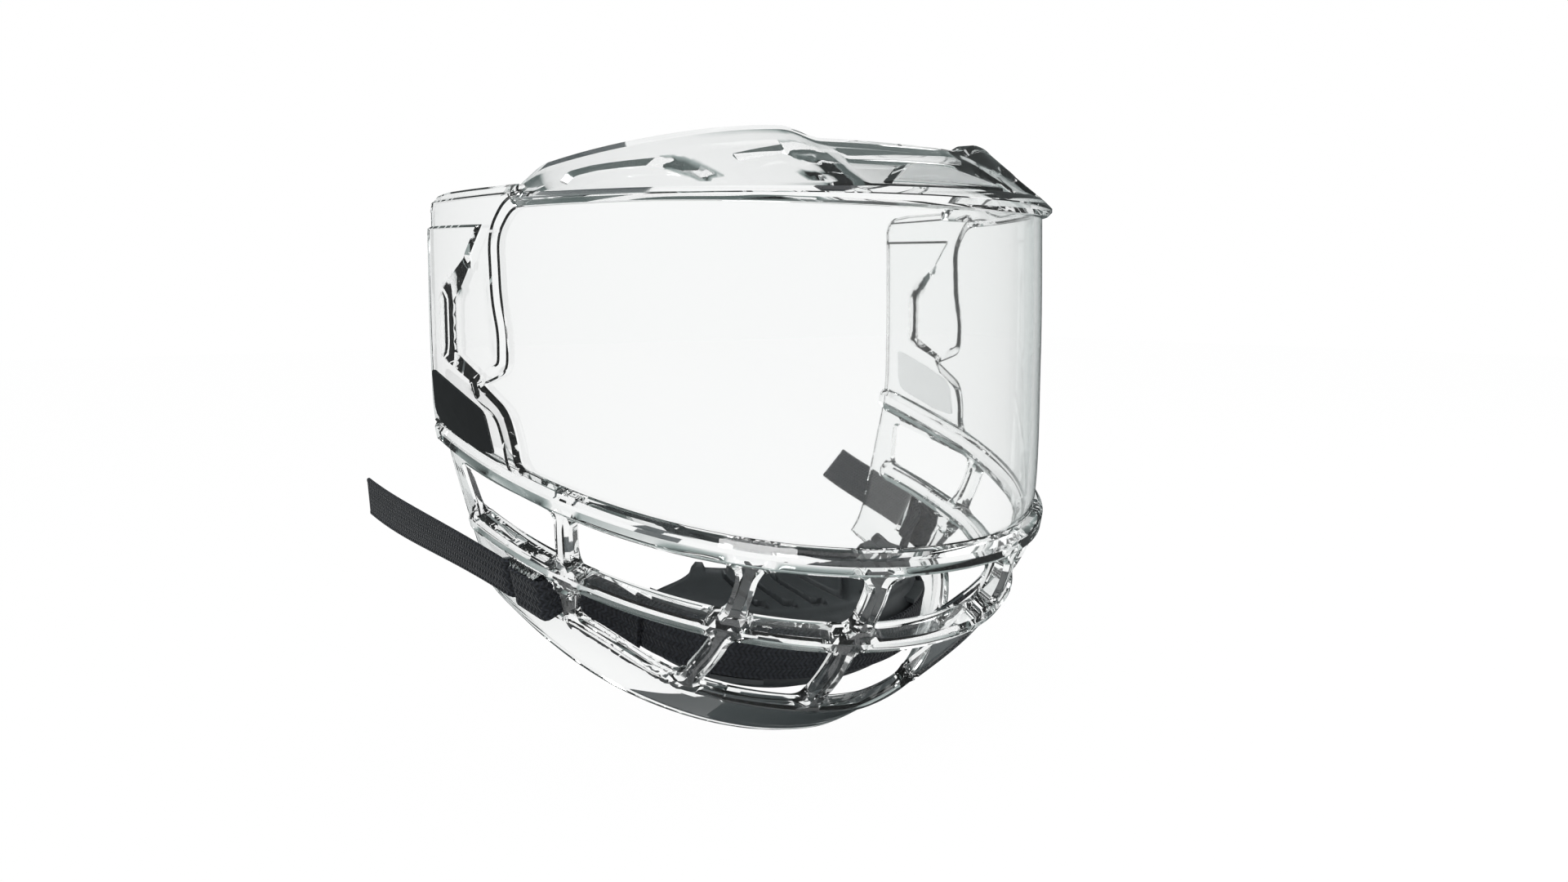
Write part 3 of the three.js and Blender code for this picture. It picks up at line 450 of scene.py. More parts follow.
def from_plane(xy):
    return stack(np.interp(xy[:, 0], run_length, share_scale), xy[:, 1] / RAIL_LENGTH)


def clear_of_bars(line, bar_gap=4.7, rim_gap=3.7):
    """The stretches of a closed line that keep away from the bars and the rim."""
    place = skin(*line.T)
    away = (far(place, centre_top, False) > bar_gap) & (far(place, centre_middle, False) > bar_gap)
    away &= far(place, centre_rim, False) > rim_gap
    first = int(np.argmin(away))
    line, away = np.roll(line, -first, 0), np.roll(away, -first)
    runs = np.split(np.arange(len(line)), np.nonzero(np.diff(away.astype(int)))[0] + 1)
    return [(line[run], False) for run in runs if away[run[0]] and len(run) > 1]


BAR_JOIN = BAR_FLAT + (BAR_PROUD - RIB_PROUD) * (BAR_EDGE - BAR_FLAT) / BAR_CHAMFER
OUTER_SHARE = 0.72
creases = [(line, True) for line in windows + slots + [boundary]]
for line in windows:
    creases += clear_of_bars(offset(line, BAR_CHAMFER))
creases += [(offset(line, SLOT_ROUND), True) for line in slots]
creases += [(offset(boundary, -BORDER_ROUND), True)]
for centre_line, reaches in (
    (centre_top, (-BAR_FLAT, -BAR_EDGE, -BAR_WALL, BAR_FLAT, BAR_JOIN)),
    (centre_middle, (-BAR_JOIN, -BAR_FLAT, BAR_FLAT, BAR_JOIN)),
):
    creases += [(offset(centre_line, reach, False), False) for reach in reaches]
for reach in (BAR_EDGE, BAR_WALL):
    line = offset(centre_middle, reach, False)
    creases += [(part, False) for part in both([line[line[:, 0] > OUTER_SHARE]])]
for reach in (RIM_HALF - RIM_CHAMFER, RIM_EDGE, RIM_WALL, RIM_CHAMFER - RIM_HALF):
    creases.append((offset(centre_rim, reach, False), False))
lines = [offset(band_area, -reach) for reach, _ in BAND_STEPS]
lines += [plate_area, offset(plate_area, -PLATE_BEVEL), pocket_area, pocket_field]
creases += [(line, True) for line in both(lines)]


# Triangle size on the skin, the brow and the label, and its shares between rows and beside lines
SKIN_SPACING, SLOPE_SPACING, LABEL_SPACING = 1.9, 2.4, 3.0
ROW_SHARE, CLEAR_SHARE = 0.866, 0.55
WELD = 2e-6


def triangles(lines, spacing):
    """Even triangles over a plane, with edges along some lines given as (points, closed)."""
    fixed = np.concatenate([flat for flat, _ in lines])
    edges, count = [], 0
    for flat, closed in lines:
        ids = list(range(count, count + len(flat)))
        edges += zip(ids, ids[1:] + ids[:1] * closed)
        count += len(flat)
    tree = KDTree(len(fixed))
    for k, (x, y) in enumerate(fixed):
        tree.insert((x, y, 0), k)
    tree.balance()
    low, high = fixed.min(0), fixed.max(0)
    field = []
    for j, y in enumerate(np.arange(low[1], high[1], spacing * ROW_SHARE)):
        for x in np.arange(low[0] + (j % 2) * spacing / 2, high[0], spacing):
            if tree.find((x, y, 0))[2] > spacing * CLEAR_SHARE:
                field.append((x, y))
    every = np.concatenate([fixed, np.array(field)])
    made = delaunay_2d_cdt([Vector(p) for p in every.tolist()], edges, [], 0, 1e-4)
    return np.array([p[:] for p in made[0]]), np.array([f for f in made[2] if len(f) == 3])


def trimmed(verts, faces):
    used = np.unique(faces)
    renumber = np.full(len(verts), -1)
    renumber[used] = np.arange(len(used))
    return verts[used], renumber[faces]


def ramp(x, *knots):
    return np.interp(x, [k[0] for k in knots], [k[1] for k in knots])


def bar_profile(d, height):
    return ramp(d, (BAR_FLAT, height), (BAR_EDGE, height - BAR_CHAMFER), (BAR_WALL, 0))


def rim_profile(d, height):
    flat = RIM_HALF - RIM_CHAMFER
    return ramp(d, (flat, height), (RIM_EDGE, height - RIM_CHAMFER), (RIM_WALL, 0))


NET_REACH, NET_EASE, NET_WINDOW = 11, 3, 8
RIM_NEAR, RIM_NEAR_RUN, RIB_UNDER_RIM = 7.0, 4.0, 0.4


def heights(tv):
    """Heights of the outer and the inner face of the moulding over the skin."""
    place = skin(*tv.T)
    left_tv = stack(np.abs(tv[:, 0]), tv[:, 1])
    left_place = skin(*left_tv.T)

    def within(line):
        return np.where(inside(left_tv, line), far(left_place, line), 0)

    d_top, d_middle, d_rim = (far(place, line, False)
                              for line in (centre_top, centre_middle, centre_rim))
    d_window = np.min([far(place, line) for line in windows], axis=0)
    d_slot = np.min([far(place, line) for line in slots], axis=0)
    d_rib = np.min([far(left_place, dense([rib[:2], rib[2:]]), False)
                    for rib in RIBS.values()], axis=0)

    inner = np.where(tv[:, 1] > GUARD_FROM, GUARD_WALL, LENS_WALL).astype(float)
    outer = np.maximum(bar_profile(d_top, BAR_PROUD), bar_profile(d_middle, BAR_PROUD))
    outer = np.maximum(outer, rim_profile(d_rim, RIM_PROUD))
    for root in (bar_profile(d_top, BAR_ROOT), bar_profile(d_middle, BAR_ROOT),
                 rim_profile(d_rim, RIM_ROOT)):
        inner = np.maximum(inner, root)

    by_rim = smooth((RIM_NEAR - d_rim) / RIM_NEAR_RUN)
    net = (d_rib < NET_REACH) & (d_window < NET_WINDOW)
    net &= (tv[:, 1] > TOP_BAR) & (tv[:, 1] < rim_rail(tv[:, 0]))
    fall = ramp(d_window, (0, RIB_CHAMFER), (BAR_CHAMFER, 0))
    reach = smooth((NET_REACH - d_rib) / NET_EASE)
    rib_proud = mix(RIB_PROUD, RIM_PROUD - RIB_UNDER_RIM, by_rim)
    rib_root = mix(RIB_ROOT, RIM_ROOT, by_rim)
    outer = np.maximum(outer, np.where(net, (rib_proud - fall) * reach, 0))
    inner = np.maximum(inner, np.where(net, (rib_root - fall) * reach, 0))

    raised = ramp(within(band_area), *BAND_STEPS)
    raised = raised + ramp(within(plate_area), (0, 0), (PLATE_BEVEL, PLATE_RAISE - BAND_RAISE))
    field = np.where(inside(left_tv, pocket_field), 0, far(left_place, pocket_field))
    sunk = mix(POCKET_FLOOR, raised, field / np.maximum(field + within(pocket_area), 1e-6))
    outer = np.maximum(outer, np.where(inside(left_tv, pocket_area), sunk, raised))

    round_off = np.maximum(ramp(far(place, boundary), (0, ROUND_DROP), (BORDER_ROUND, 0)),
                           ramp(d_slot, (0, ROUND_DROP), (SLOT_ROUND, 0)))
    return outer - round_off, -inner + round_off * 0.7


def add_object(name, data):
    obj = bpy.data.objects.new(name, data)
    bpy.context.scene.collection.objects.link(obj)
    return obj


def object_of(name, verts, faces):
    mesh = bpy.data.meshes.new(name)
    places = ((np.asarray(verts) + OFFSET) * MM).tolist()
    mesh.from_pydata(places, [], [list(map(int, f)) for f in faces])
    mesh.update()
    return add_object(name, mesh)


def quads(ids):
    """Faces between the neighbours in a grid of vertex numbers."""
    return stack(ids[:-1, :-1], ids[:-1, 1:], ids[1:, 1:], ids[1:, :-1]).reshape(-1, 4).tolist()


def face_out(obj, weld=False):
    """Turns the faces of a closed mesh outward, with doubled points joined first if asked."""
    work = bmesh.new()
    work.from_mesh(obj.data)
    if weld:
        bmesh.ops.remove_doubles(work, verts=work.verts, dist=WELD)
        bmesh.ops.recalc_face_normals(work, faces=work.faces)
    if work.calc_volume(signed=True) < 0:
        bmesh.ops.reverse_faces(work, faces=work.faces)
    work.to_mesh(obj.data)
    work.free()
    return obj


def shade(obj, sharp_degrees):
    obj.data.shade_smooth()
    obj.data.set_sharp_from_angle(angle=math.radians(sharp_degrees))
    return obj


def two_faced(name, upper, lower, faces):
    """A closed sheet whose two faces share their triangles."""
    n = len(upper)
    edges = dict.fromkeys((f[k], f[(k + 1) % 3]) for f in faces for k in range(3))
    walls = [(b, a, a + n, b + n) for a, b in edges if (b, a) not in edges]
    every = [tuple(f) for f in faces] + [tuple(f[::-1] + n) for f in faces] + walls
    return object_of(name, np.concatenate([upper, lower]), every)


def shield_sheet():
    verts, faces = triangles([(to_plane(line), closed) for line, closed in creases], SKIN_SPACING)
    middle = from_plane(verts[faces].mean(1))
    keep = inside(middle, boundary)
    for line in windows + slots:
        keep &= ~inside(middle, line)
    tv, faces = trimmed(from_plane(verts), faces[keep])
    outer, inner = heights(tv)
    return two_faced("shield_clear", lift(tv, outer), lift(tv, inner), faces[:, ::-1])


# The brow: its sloping wall is drawn flat, in shares of its length and its height
SLOPE_SCALE = (240.0, 28.0)
LONG_POCKET = [(0.385, 0.05), (0.655, 0.08, 0.5), (0.672, 0.36, 0.6), (0.640, 0.72, 0.5),
               (0.59, 0.76, 0.2), (0.46, 0.68), (0.43, 0.60)]
LONG_FLOOR = [(0.425, 0.11), (0.648, 0.13, 0.5), (0.663, 0.36, 0.6), (0.634, 0.66, 0.5),
              (0.59, 0.70, 0.2), (0.50, 0.635), (0.475, 0.54), (0.455, 0.36)]
SHORT_POCKET = [(0.355, 0.57), (0.24, 0.74), (0.19, 0.79), (0.172, 0.70), (0.178, 0.40),
                (0.195, 0.05), (0.316, 0.05), (0.345, 0.22, 0.4)]
SHORT_FLOOR = [(0.346, 0.51), (0.262, 0.63), (0.232, 0.52), (0.266, 0.32), (0.243, 0.11),
               (0.311, 0.10), (0.337, 0.24, 0.4)]
RECESS = [(-0.152, 0.81), (0.152, 0.81), (0.158, 0.04), (-0.158, 0.04)]
RECESS_FLOOR = [(-0.140, 0.655), (0.140, 0.655), (0.150, 0.075), (-0.150, 0.075)]
FIELD_FOOT = [(-0.138, 0.075), (-0.048, 0.62, 0.3), (0.048, 0.62, 0.3), (0.138, 0.075)]
FIELD = [(-0.112, 0.10), (-0.034, 0.575, 0.3), (0.034, 0.575, 0.3), (0.112, 0.10)]
LABEL = [(-0.104, 0.13), (-0.031, 0.545, 0.4), (0.031, 0.545, 0.4), (0.104, 0.13)]
POCKET_SUNK, RECESS_SUNK, FIELD_HEIGHT = -1.5, -1.3, 0.3
LIP_PROUD, LIP_NOSE, LIP_TOP, LIP_BEVEL, LIP_ROUND, LIP_BACK = 3.4, 5.0, 7.2, 2.2, 1.4, 3.4
CREST_HEIGHT, CREST_RISE, CREST_FALL, CREST_TIP_FALL = 22.8, 3.2, 12.5, 4.0
CREST_TURN, CREST_BACK, CREST_WALL = 0.235, 6.8, 3.4


def crest_height(t):
    out = np.abs(t)
    rise = CREST_RISE * smooth((out - 0.155) / 0.08)
    back = np.clip((out - CREST_TURN) / (BROW_TIP - CREST_TURN), 0, 1)
    fall = CREST_FALL * back**1.65
    return CREST_HEIGHT + rise - fall - CREST_TIP_FALL * smooth((back - 0.84) / 0.16)


def plan_line(half_width, depth, square):
    def line(t, out, height):
        x, y = plan_curve(t, half_width, depth, square)
        x0, y0 = plan_curve(t - STEP, half_width, depth, square)
        x1, y1 = plan_curve(t + STEP, half_width, depth, square)
        length = np.hypot(x1 - x0, y1 - y0)
        return stack(x + (y1 - y0) / length * out, y - (x1 - x0) / length * out, height + 0 * x)
    return line


lens_line = plan_line(HALF_WIDTH, DEPTH, 2.25)
crest_line = plan_line(HALF_WIDTH, 121.5, 2.2)


def closed_line(points, step=1.2):
    """Evenly spaced points, in mm, round an outline on the slope."""
    line = outline(points, SLOPE_SCALE) * SLOPE_SCALE
    out = []
    for a, b in zip(line, np.roll(line, -1, 0)):
        count = max(int(np.linalg.norm(b - a) / step), 1)
        out.append(a + (b - a) * (np.arange(count) / count)[:, None])
    return np.concatenate(out)


def between(points, outer, inner, height):
    """Heights that run from zero at an outer outline to a height at an inner one."""
    outer, inner = closed_line(outer), closed_line(inner)
    to_outer = to_closed(points, outer)
    to_inner = np.where(inside(points, inner), 0, to_closed(points, inner))
    share = to_outer / np.maximum(to_outer + to_inner, 1e-6)
    return np.where(inside(points, outer), height * share, 0)


def slope_height(flat):
    """Height over the plain slope, with pockets, recess and raised field."""
    left = stack(np.abs(flat[:, 0]), flat[:, 1])
    height = between(left, LONG_POCKET, LONG_FLOOR, POCKET_SUNK)
    height += between(left, SHORT_POCKET, SHORT_FLOOR, POCKET_SUNK)
    height += between(flat, RECESS, RECESS_FLOOR, RECESS_SUNK)
    return height + between(flat, FIELD_FOOT, FIELD, FIELD_HEIGHT - RECESS_SUNK)


def lip_foot(t):
    return mix(1.4, 3.2, smooth(np.abs(t) / 0.6))


def crest_bevel(t):
    return mix(1.5, 3.0, smooth((np.abs(t) - 0.30) / 0.2))


def slope_point(t, s, height):
    foot, ahead, behind = (lens_line(t + move, LIP_PROUD - LIP_BEVEL, LIP_TOP)
                           for move in (0, 0.01, -0.01))
    head = crest_line(t, 0, crest_height(t) - crest_bevel(t))
    out = unit(np.cross(head - foot, ahead - behind))
    away = foot * [1, 1, 0]
    out *= np.sign((out * away).sum(-1, keepdims=True))
    return foot + (head - foot) * np.reshape(s, (-1, 1)) + out * np.reshape(height, (-1, 1))


def on_slope(flat, height):
    wide, tall = SLOPE_SCALE
    return slope_point(flat[:, 0] / wide, flat[:, 1] / tall, height)


def brow_shell():
    t = np.linspace(-BROW_TIP, BROW_TIP, 301)
    edge = np.linspace(0, 1, 25)
    up = edge[1:-1]
    wide, tall = SLOPE_SCALE
    border = np.concatenate([
        stack(t * wide, 0 * t), stack(0 * up + BROW_TIP * wide, up * tall),
        stack(t[::-1] * wide, 0 * t + tall), stack(0 * up - BROW_TIP * wide, up[::-1] * tall),
    ])
    lines = [border]
    for points in (LONG_POCKET, LONG_FLOOR, SHORT_POCKET, SHORT_FLOOR):
        line = closed_line(points)
        lines += [line, line * [-1, 1]]
    lines += [closed_line(points) for points in (RECESS, RECESS_FLOOR, FIELD_FOOT, FIELD)]
    flat, slope = triangles([(line, True) for line in lines], SLOPE_SPACING)

    foot, crest, bevel = lip_foot(t), crest_height(t), crest_bevel(t)
    front = [
        lens_line(t, -LIP_BACK, foot), lens_line(t, LIP_PROUD - LIP_ROUND, foot),
        lens_line(t, LIP_PROUD, foot + LIP_ROUND), lens_line(t, LIP_PROUD, LIP_NOSE),
        slope_point(t, 0, 0),
    ]
    rear = [
        slope_point(t, 1, 0), crest_line(t, -bevel, crest), crest_line(t, -CREST_BACK, crest),
        crest_line(t, -CREST_BACK, crest - CREST_WALL), lens_line(t, -LIP_BACK, LIP_NOSE), front[0],
    ]
    parts = []
    for rows in (front, rear):
        grid = np.stack(rows, 1)
        ids = np.arange(grid[..., 0].size).reshape(grid.shape[:2])
        parts.append((grid.reshape(-1, 3), quads(ids.T)))
    parts.append((on_slope(flat, slope_height(flat)), slope[:, ::-1]))
    for side, way in ((0, 1), (-1, -1)):
        wall = slope_point(0 * edge + t[side], edge, 0)
        cap = np.concatenate([[row[side] for row in front[:-1]], wall,
                              [row[side] for row in rear[1:-1]]])
        parts.append((cap, [np.arange(len(cap))[::way]]))
    starts = np.cumsum([0] + [len(points) for points, _ in parts])
    faces = [np.add(face, start) for (_, made), start in zip(parts, starts) for face in made]
    verts = np.concatenate([points for points, _ in parts])
    return face_out(object_of("brow_clear", verts, faces), weld=True)


TOOTH_PLACES = (-5.4, -3.8, -0.8, 0.8, 3.8, 5.4)
TOOTH_REACH = (1.0, 4.5)
TOOTH_HALF, TOOTH_TIP, TOOTH_HEAD = 0.75, 8.9, 12.2


def teeth():
    """Small wedges on the middle bar above each post, which grip the webbing."""
    verts, faces = [], []
    for middle in TOOTH_PLACES:
        section = ((-TOOTH_HALF, TOOTH_TIP), (TOOTH_HALF, TOOTH_TIP), (0, TOOTH_HEAD))
        wedge = [by_post(middle + a, out, up) for out in TOOTH_REACH for a, up in section]
        for turn in (1, -1):
            n = len(verts)
            verts += [point * [turn, 1, 1] for point in wedge]
            faces += [(n, n + 2, n + 1), (n + 3, n + 4, n + 5)]
            for k in range(3):
                after = n + (k + 1) % 3
                faces.append((n + k, after, after + 3, n + 3 + k))
    return face_out(object_of("teeth", verts, faces), weld=True)


shield = shield_sheet()
extras = [brow_shell(), teeth()]
for other in extras:
    modifier = shield.modifiers.new("join", "BOOLEAN")
    modifier.operation = "UNION"
    modifier.solver = "MANIFOLD"
    modifier.object = other
depsgraph = bpy.context.evaluated_depsgraph_get()
joined = bpy.data.meshes.new_from_object(shield.evaluated_get(depsgraph))
shield.modifiers.clear()
shield.data = joined
for other in extras:
    bpy.data.objects.remove(other)
shade(shield, 24)
CLEAR = ["lens", "brow", "top_bar", "middle_bar", "chin_guard"]
CLEAR += [f"{side}_{part}" for side in ("left", "right") for part in (
    "temple", "cheek_panel", "front_rib", "side_rib", "rear_rib", "lower_front_rib",
    "lower_side_rib")]


def settle(piece, body, slot, *nodes):
    """Hangs a piece on the body it rides on and hides the nodes it stands for. The slot is not
    used.
    """
    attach(piece, body)
    if nodes:
        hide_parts(*nodes)


settle(shield, "shield", "clear_plastic", *CLEAR)


# Webbing
def sweep(name, centre, across, profile, closed=False):
    """A profile of (across, out) points carried along a line. Its UVs are length and width."""
    centre, across = np.asarray(centre, float), np.asarray(across, float)
    if closed:
        run = np.roll(centre, -1, 0) - np.roll(centre, 1, 0)
    else:
        run = np.gradient(centre, axis=0)
    run = unit(run)
    out = unit(np.cross(across, run))
    side = np.cross(run, out)
    profile = np.asarray(profile, float)
    width = profile[:, 0]
    verts = centre[:, None] + side[:, None] * profile[None, :, :1]
    verts = verts + out[:, None] * profile[None, :, 1:]
    rings, points = verts.shape[:2]
    faces, places = [], []
    length = lengths(centre)
    last = length[-1] + np.linalg.norm(centre[0] - centre[-1])
    for r in range(rings if closed else rings - 1):
        q = (r + 1) % rings
        here, there = length[r], last if q == 0 else length[q]
        for k in range(points):
            j = (k + 1) % points
            faces.append((r * points + k, q * points + k, q * points + j, r * points + j))
            places += [(here, width[k]), (there, width[k]), (there, width[j]), (here, width[j])]
    if not closed:
        last_ring = (rings - 1) * points
        for first, at, order in ((0, 0, range(points)),
                                 (last_ring, length[-1], range(points - 1, -1, -1))):
            faces.append(tuple(first + k for k in order))
            places += [(at, width[k]) for k in order]
    obj = object_of(name, verts.reshape(-1, 3), faces)
    layer = obj.data.uv_layers.new(name="UVMap")
    layer.data.foreach_set("uv", np.array(places, float).ravel())
    return shade(face_out(obj), 40)


def band_profile(width=2 * WEBBING_HALF, thick=WEBBING_THICK):
    """Section of woven webbing: rounded edges and a slightly thicker selvedge."""
    half, t = width / 2, thick / 2
    edge = [(0.0, 0.0), (0.15, t * 0.6), (0.5, t), (1.5, t), (1.9, t * 0.86)]
    top = [(-half + x, y) for x, y in edge]
    top += [(x, t * 0.86) for x in np.linspace(-half + 3.5, half - 3.5, 4)]
    top += [(half - x, y) for x, y in reversed(edge)]
    return top + [(x, -y) for x, y in reversed(top[1:-1])]


def even(points, step=1.5):
    points = np.asarray(points, float)
    run = lengths(points)
    at = np.linspace(0, run[-1], max(int(run[-1] / step), 4))
    return stack(*(np.interp(at, run, column) for column in points.T)), at / run[-1]


def bezier(a, b, c, d):
    t = np.linspace(0, 1, 60)[:, None]
    return (1 - t) ** 3 * a + 3 * (1 - t) ** 2 * t * b + 3 * (1 - t) * t**2 * c + t**3 * d


def arc(centre, radii, start, turn, steps):
    """Places by the post on an arc of an ellipse, given by (along, out)."""
    angles = [start + turn * k / steps for k in range(steps + 1)]
    return [by_post(centre[0] + radii[0] * math.cos(a), centre[1] + radii[1] * math.sin(a))
            for a in angles]


def both_sides(make, name):
    """Builds a piece for the wearer's left, and its mirror image for the right."""
    left = make(f"left_{name}")
    right = add_object(f"right_{name}", left.data.copy())
    right.data.name = right.name
    return [left, mirrored(right)]


def mirrored(obj):
    obj.data.transform(Matrix.Diagonal((-1, 1, 1, 1)))
    obj.data.flip_normals()
    return obj


KEEPER_END, KEEPER_BACK, KEEPER_PROUD, KEEPER_CORNER = 8.1, -4.5, 3.8, 1.5
SPARE_END, SPARE_FOOT, SPARE_MIDDLE, SPARE_RADII = 6.3, 0.9, 3.35, (2.75, 1.15)
TAIL_AXIS, TAIL_FOLD, TAIL_START = 10.3, 2.6, (-1.4, 0.3)
RUN_DEPTH = -6.4


def keeper_piece(name):
    end, corner = KEEPER_END - KEEPER_CORNER, KEEPER_CORNER
    high, low = KEEPER_PROUD - corner, KEEPER_BACK + corner
    path = []
    for turn, centre in enumerate(((end, high), (-end, high), (-end, low), (end, low))):
        path += arc(centre, (corner, corner), turn * math.pi / 2, math.pi / 2, 6)
    points, _ = even(path + path[:1], 1.2)
    points = points[:-1]
    return sweep(name, points, post_up, band_profile(), closed=True)


def spare_piece(name):
    path = [by_post(-SPARE_END, SPARE_FOOT)]
    for middle in (-SPARE_MIDDLE, SPARE_MIDDLE):
        path += arc((middle, 1.0), SPARE_RADII, math.pi, -math.pi, 10)
    path.append(by_post(SPARE_END, SPARE_FOOT))
    points, _ = even(path, 0.7)
    return sweep(name, points, post_up, band_profile(15.8, 1.0))


def tail_piece(name, length, rise, flare, end_up, bow=0.0, drop=0.125):
    """Free webbing that leaves its slot, folds back over the cheek and runs on behind."""
    points = [by_post(TAIL_AXIS, out) for out in TAIL_START]
    centre = (TAIL_AXIS + TAIL_FOLD, TAIL_START[1])
    points += arc(centre, (TAIL_FOLD, TAIL_FOLD), math.pi, -math.pi / 2, 5)[1:]
    start = points[-1]
    end = start + np.array([flare, length, rise])
    pull = length / 3
    arrive = end - np.array([bow, pull, pull * drop])
    free = bezier(start, start + post_along * pull, arrive, end)
    points, share = even(np.concatenate([points, free[1:]]))
    turn = smooth(share * 1.15 - 0.1)[:, None]
    return sweep(name, points, post_up * (1 - turn) + np.array(end_up) * turn, band_profile())


# Chin cup, its strap and its pad
CUP_WIDE, CUP_BACK, CUP_DROP, CUP_TALL, CUP_SQUARE, CUP_EASE = 57.04, 46.0, 133.0, 46.0, 2.3, 1.6
CUP_REACH = 98.04 - CUP_BACK
CUP_SCALE = (85.6, 19.3)
# Rough millimetres of a share round the cup, of its height and of a rail, for roundings
SHARE_MM, HEIGHT_MM, RAIL_MM = 90, 58, 19
# Shares of width and reach, and rise in front and at the ends
CUP_RAILS = [(0.86, 0.62, 0.36, 0.42), (1.0, 1.0, 0.0, 0.20), (0.96, 0.93, -0.43, -0.20),
             (0.66, 0.55, -0.64, -0.42)]
CUP_WALL, CUP_END = 3.2, 0.86
CUP_TABS = ((0.10, 0.21), (0.30, 0.44), (0.56, 0.66))
GROOVES = (0.10, 0.22, 0.34, 0.46)
STRAP_LINE = 1.5
BRIM_PROUD, RIDGE_PROUD = 0.7, 1.5
PAD_END, PAD_HALF, PAD_GAP, PAD_EDGE, PAD_THICK, PAD_LEAST = 0.8, 1.25, 0.6, 2.4, 7.0, 1.2
# Place, half width and depth of the pad's channels
UPRIGHT_CHANNEL, LEVEL_CHANNEL = (0.34, 0.018, 1.4), (STRAP_LINE, 0.06, 0.9)
RUN_SHARES, RUN_PROUD, RUN_START = (0.86, 0.88, 0.90), 3.3, 3.5


def cup_point(share, down):
    share, down = numbers(share, down)
    rails = []
    for wide, reach, front, rear in CUP_RAILS:
        x, y = plan_curve(share, CUP_WIDE * wide, CUP_REACH * reach, CUP_SQUARE)
        rise = front + (rear - front) * np.minimum(np.abs(share), 1) ** CUP_EASE
        rails.append(stack(x, y - CUP_BACK, CUP_TALL * rise - CUP_DROP))
    return through_rails(np.stack(rails), down)


def cup_out(share, down):
    share, down = numbers(share, down)
    ahead, behind = (cup_point(np.clip(share + move, -1, 1), down) for move in (0.02, -0.02))
    drop = cup_point(share, down + 0.05) - cup_point(share, down - 0.05)
    return unit(np.cross(drop, ahead - behind))


def cup_lift(share, down, height):
    return cup_point(share, down) + cup_out(share, down) * np.reshape(height, (-1, 1))


def cup_edges(share):
    """Rails of the notched top edge and of the foot, with the corners cut."""
    corner = np.clip((np.abs(share) - 0.62) / 0.2, 0, 1)
    tab = 0.0
    for low, high in CUP_TABS:
        tab = tab + smooth((np.abs(share) - low) / 0.015) * smooth((high - np.abs(share)) / 0.015)
    return 0.75 * corner - 0.10 * tab * (1 - corner), 3 - 0.35 * corner


def groove_depth(share, down):
    """Depth of the slanted grooves, each with a short foot toward the middle."""
    flat = stack(np.abs(share), down) * CUP_SCALE
    deep = np.zeros(len(flat))
    for place in GROOVES:
        path = np.array([(place, 0.16), (place - 0.10, 0.66), (place - 0.145, 0.69)]) * CUP_SCALE
        groove = ramp(to_segments(flat, path[:-1], path[1:]), (0.45, 1.8), (0.95, 0.0))
        deep = np.maximum(deep, groove)
    return deep


def grid_shell(name, outer, inner):
    """A closed sheet from two grids of points of the same shape."""
    ids = np.arange(outer[..., 0].size).reshape(outer.shape[:2])
    n = ids.size
    verts = np.concatenate([outer.reshape(-1, 3), inner.reshape(-1, 3)])
    rim = np.concatenate([ids[0], ids[1:, -1], ids[-1, -2::-1], ids[-2:0:-1, 0]])
    after = np.roll(rim, -1)
    faces = [*quads(ids), *quads(ids.T + n), *stack(after, rim, rim + n, after + n)]
    return shade(face_out(object_of(name, verts, faces)), 48)


def cup_grid(columns, rows):
    most = CUP_END
    field = np.linspace(-most + 0.02, most - 0.02, columns)
    shares = np.concatenate([[-most, -most + 0.010], field, [most - 0.010, most]])
    steps = np.concatenate([[0, 0.012], np.linspace(0.028, 0.972, rows), [0.988, 1]])
    share, step = (a.ravel() for a in np.meshgrid(shares, steps))
    top_rail, foot_rail = cup_edges(share)
    down = mix(top_rail, foot_rail, step)
    edge = np.minimum(np.minimum(step, 1 - step) * HEIGHT_MM, (most - np.abs(share)) * SHARE_MM)
    round_off = ramp(edge, (0, 0.8), (0.4, 0.25), (1.2, 0))
    shape = (len(steps), len(shares), 3)
    outer = cup_lift(share, down, cup_outside(share, down) - round_off).reshape(shape)
    return outer, cup_lift(share, down, round_off * 0.6 - CUP_WALL).reshape(shape)


def cup_outside(share, down):
    brim = BRIM_PROUD * smooth((0.10 - (down - cup_edges(share)[0])) / 0.05)
    ridge = RIDGE_PROUD * smooth((down - 0.2) / 0.55) * smooth((0.87 - down) / 0.09)
    return brim + ridge - groove_depth(share, down)


def cup_line(low, high, count, height):
    """A line round the cup at the height of its strap, with the way across it."""
    share = np.linspace(low, high, count)
    out = cup_out(share, STRAP_LINE)
    centre = cup_point(share, STRAP_LINE) + out * height
    return centre, np.cross(out, unit(np.gradient(centre, axis=0)))


def bridge_piece(name):
    """A loop of the cup's own rubber over the strap, on the wearer's left."""
    outer = [(10.2, -1.2), (10.2, 2.7), (9.9, 3.4), (9.2, 3.8)]
    hollow = [(8.5, -1.2), (8.5, 1.9), (8.2, 2.2), (7.9, 2.25)]
    profile = [(-x, y) for x, y in outer] + outer[::-1]
    profile += hollow + [(-x, y) for x, y in reversed(hollow)]
    return sweep(name, *cup_line(0.33, 0.55, 16, 0.0), profile)


def pad_inside(share, down):
    crown = (1 - np.abs(share / PAD_END) ** 4) * (1 - np.abs((down - STRAP_LINE) / PAD_HALF) ** 4)
    thick = mix(PAD_EDGE, PAD_THICK, np.sqrt(np.clip(crown, 0, 1)))
    channel = 0
    for at, (place, half, deep) in ((np.abs(share), UPRIGHT_CHANNEL), (down, LEVEL_CHANNEL)):
        channel = channel + np.exp(-((at - place) / half) ** 2) * deep
    return -CUP_WALL - PAD_GAP - np.maximum(thick - channel * (crown > 0.05), PAD_LEAST)


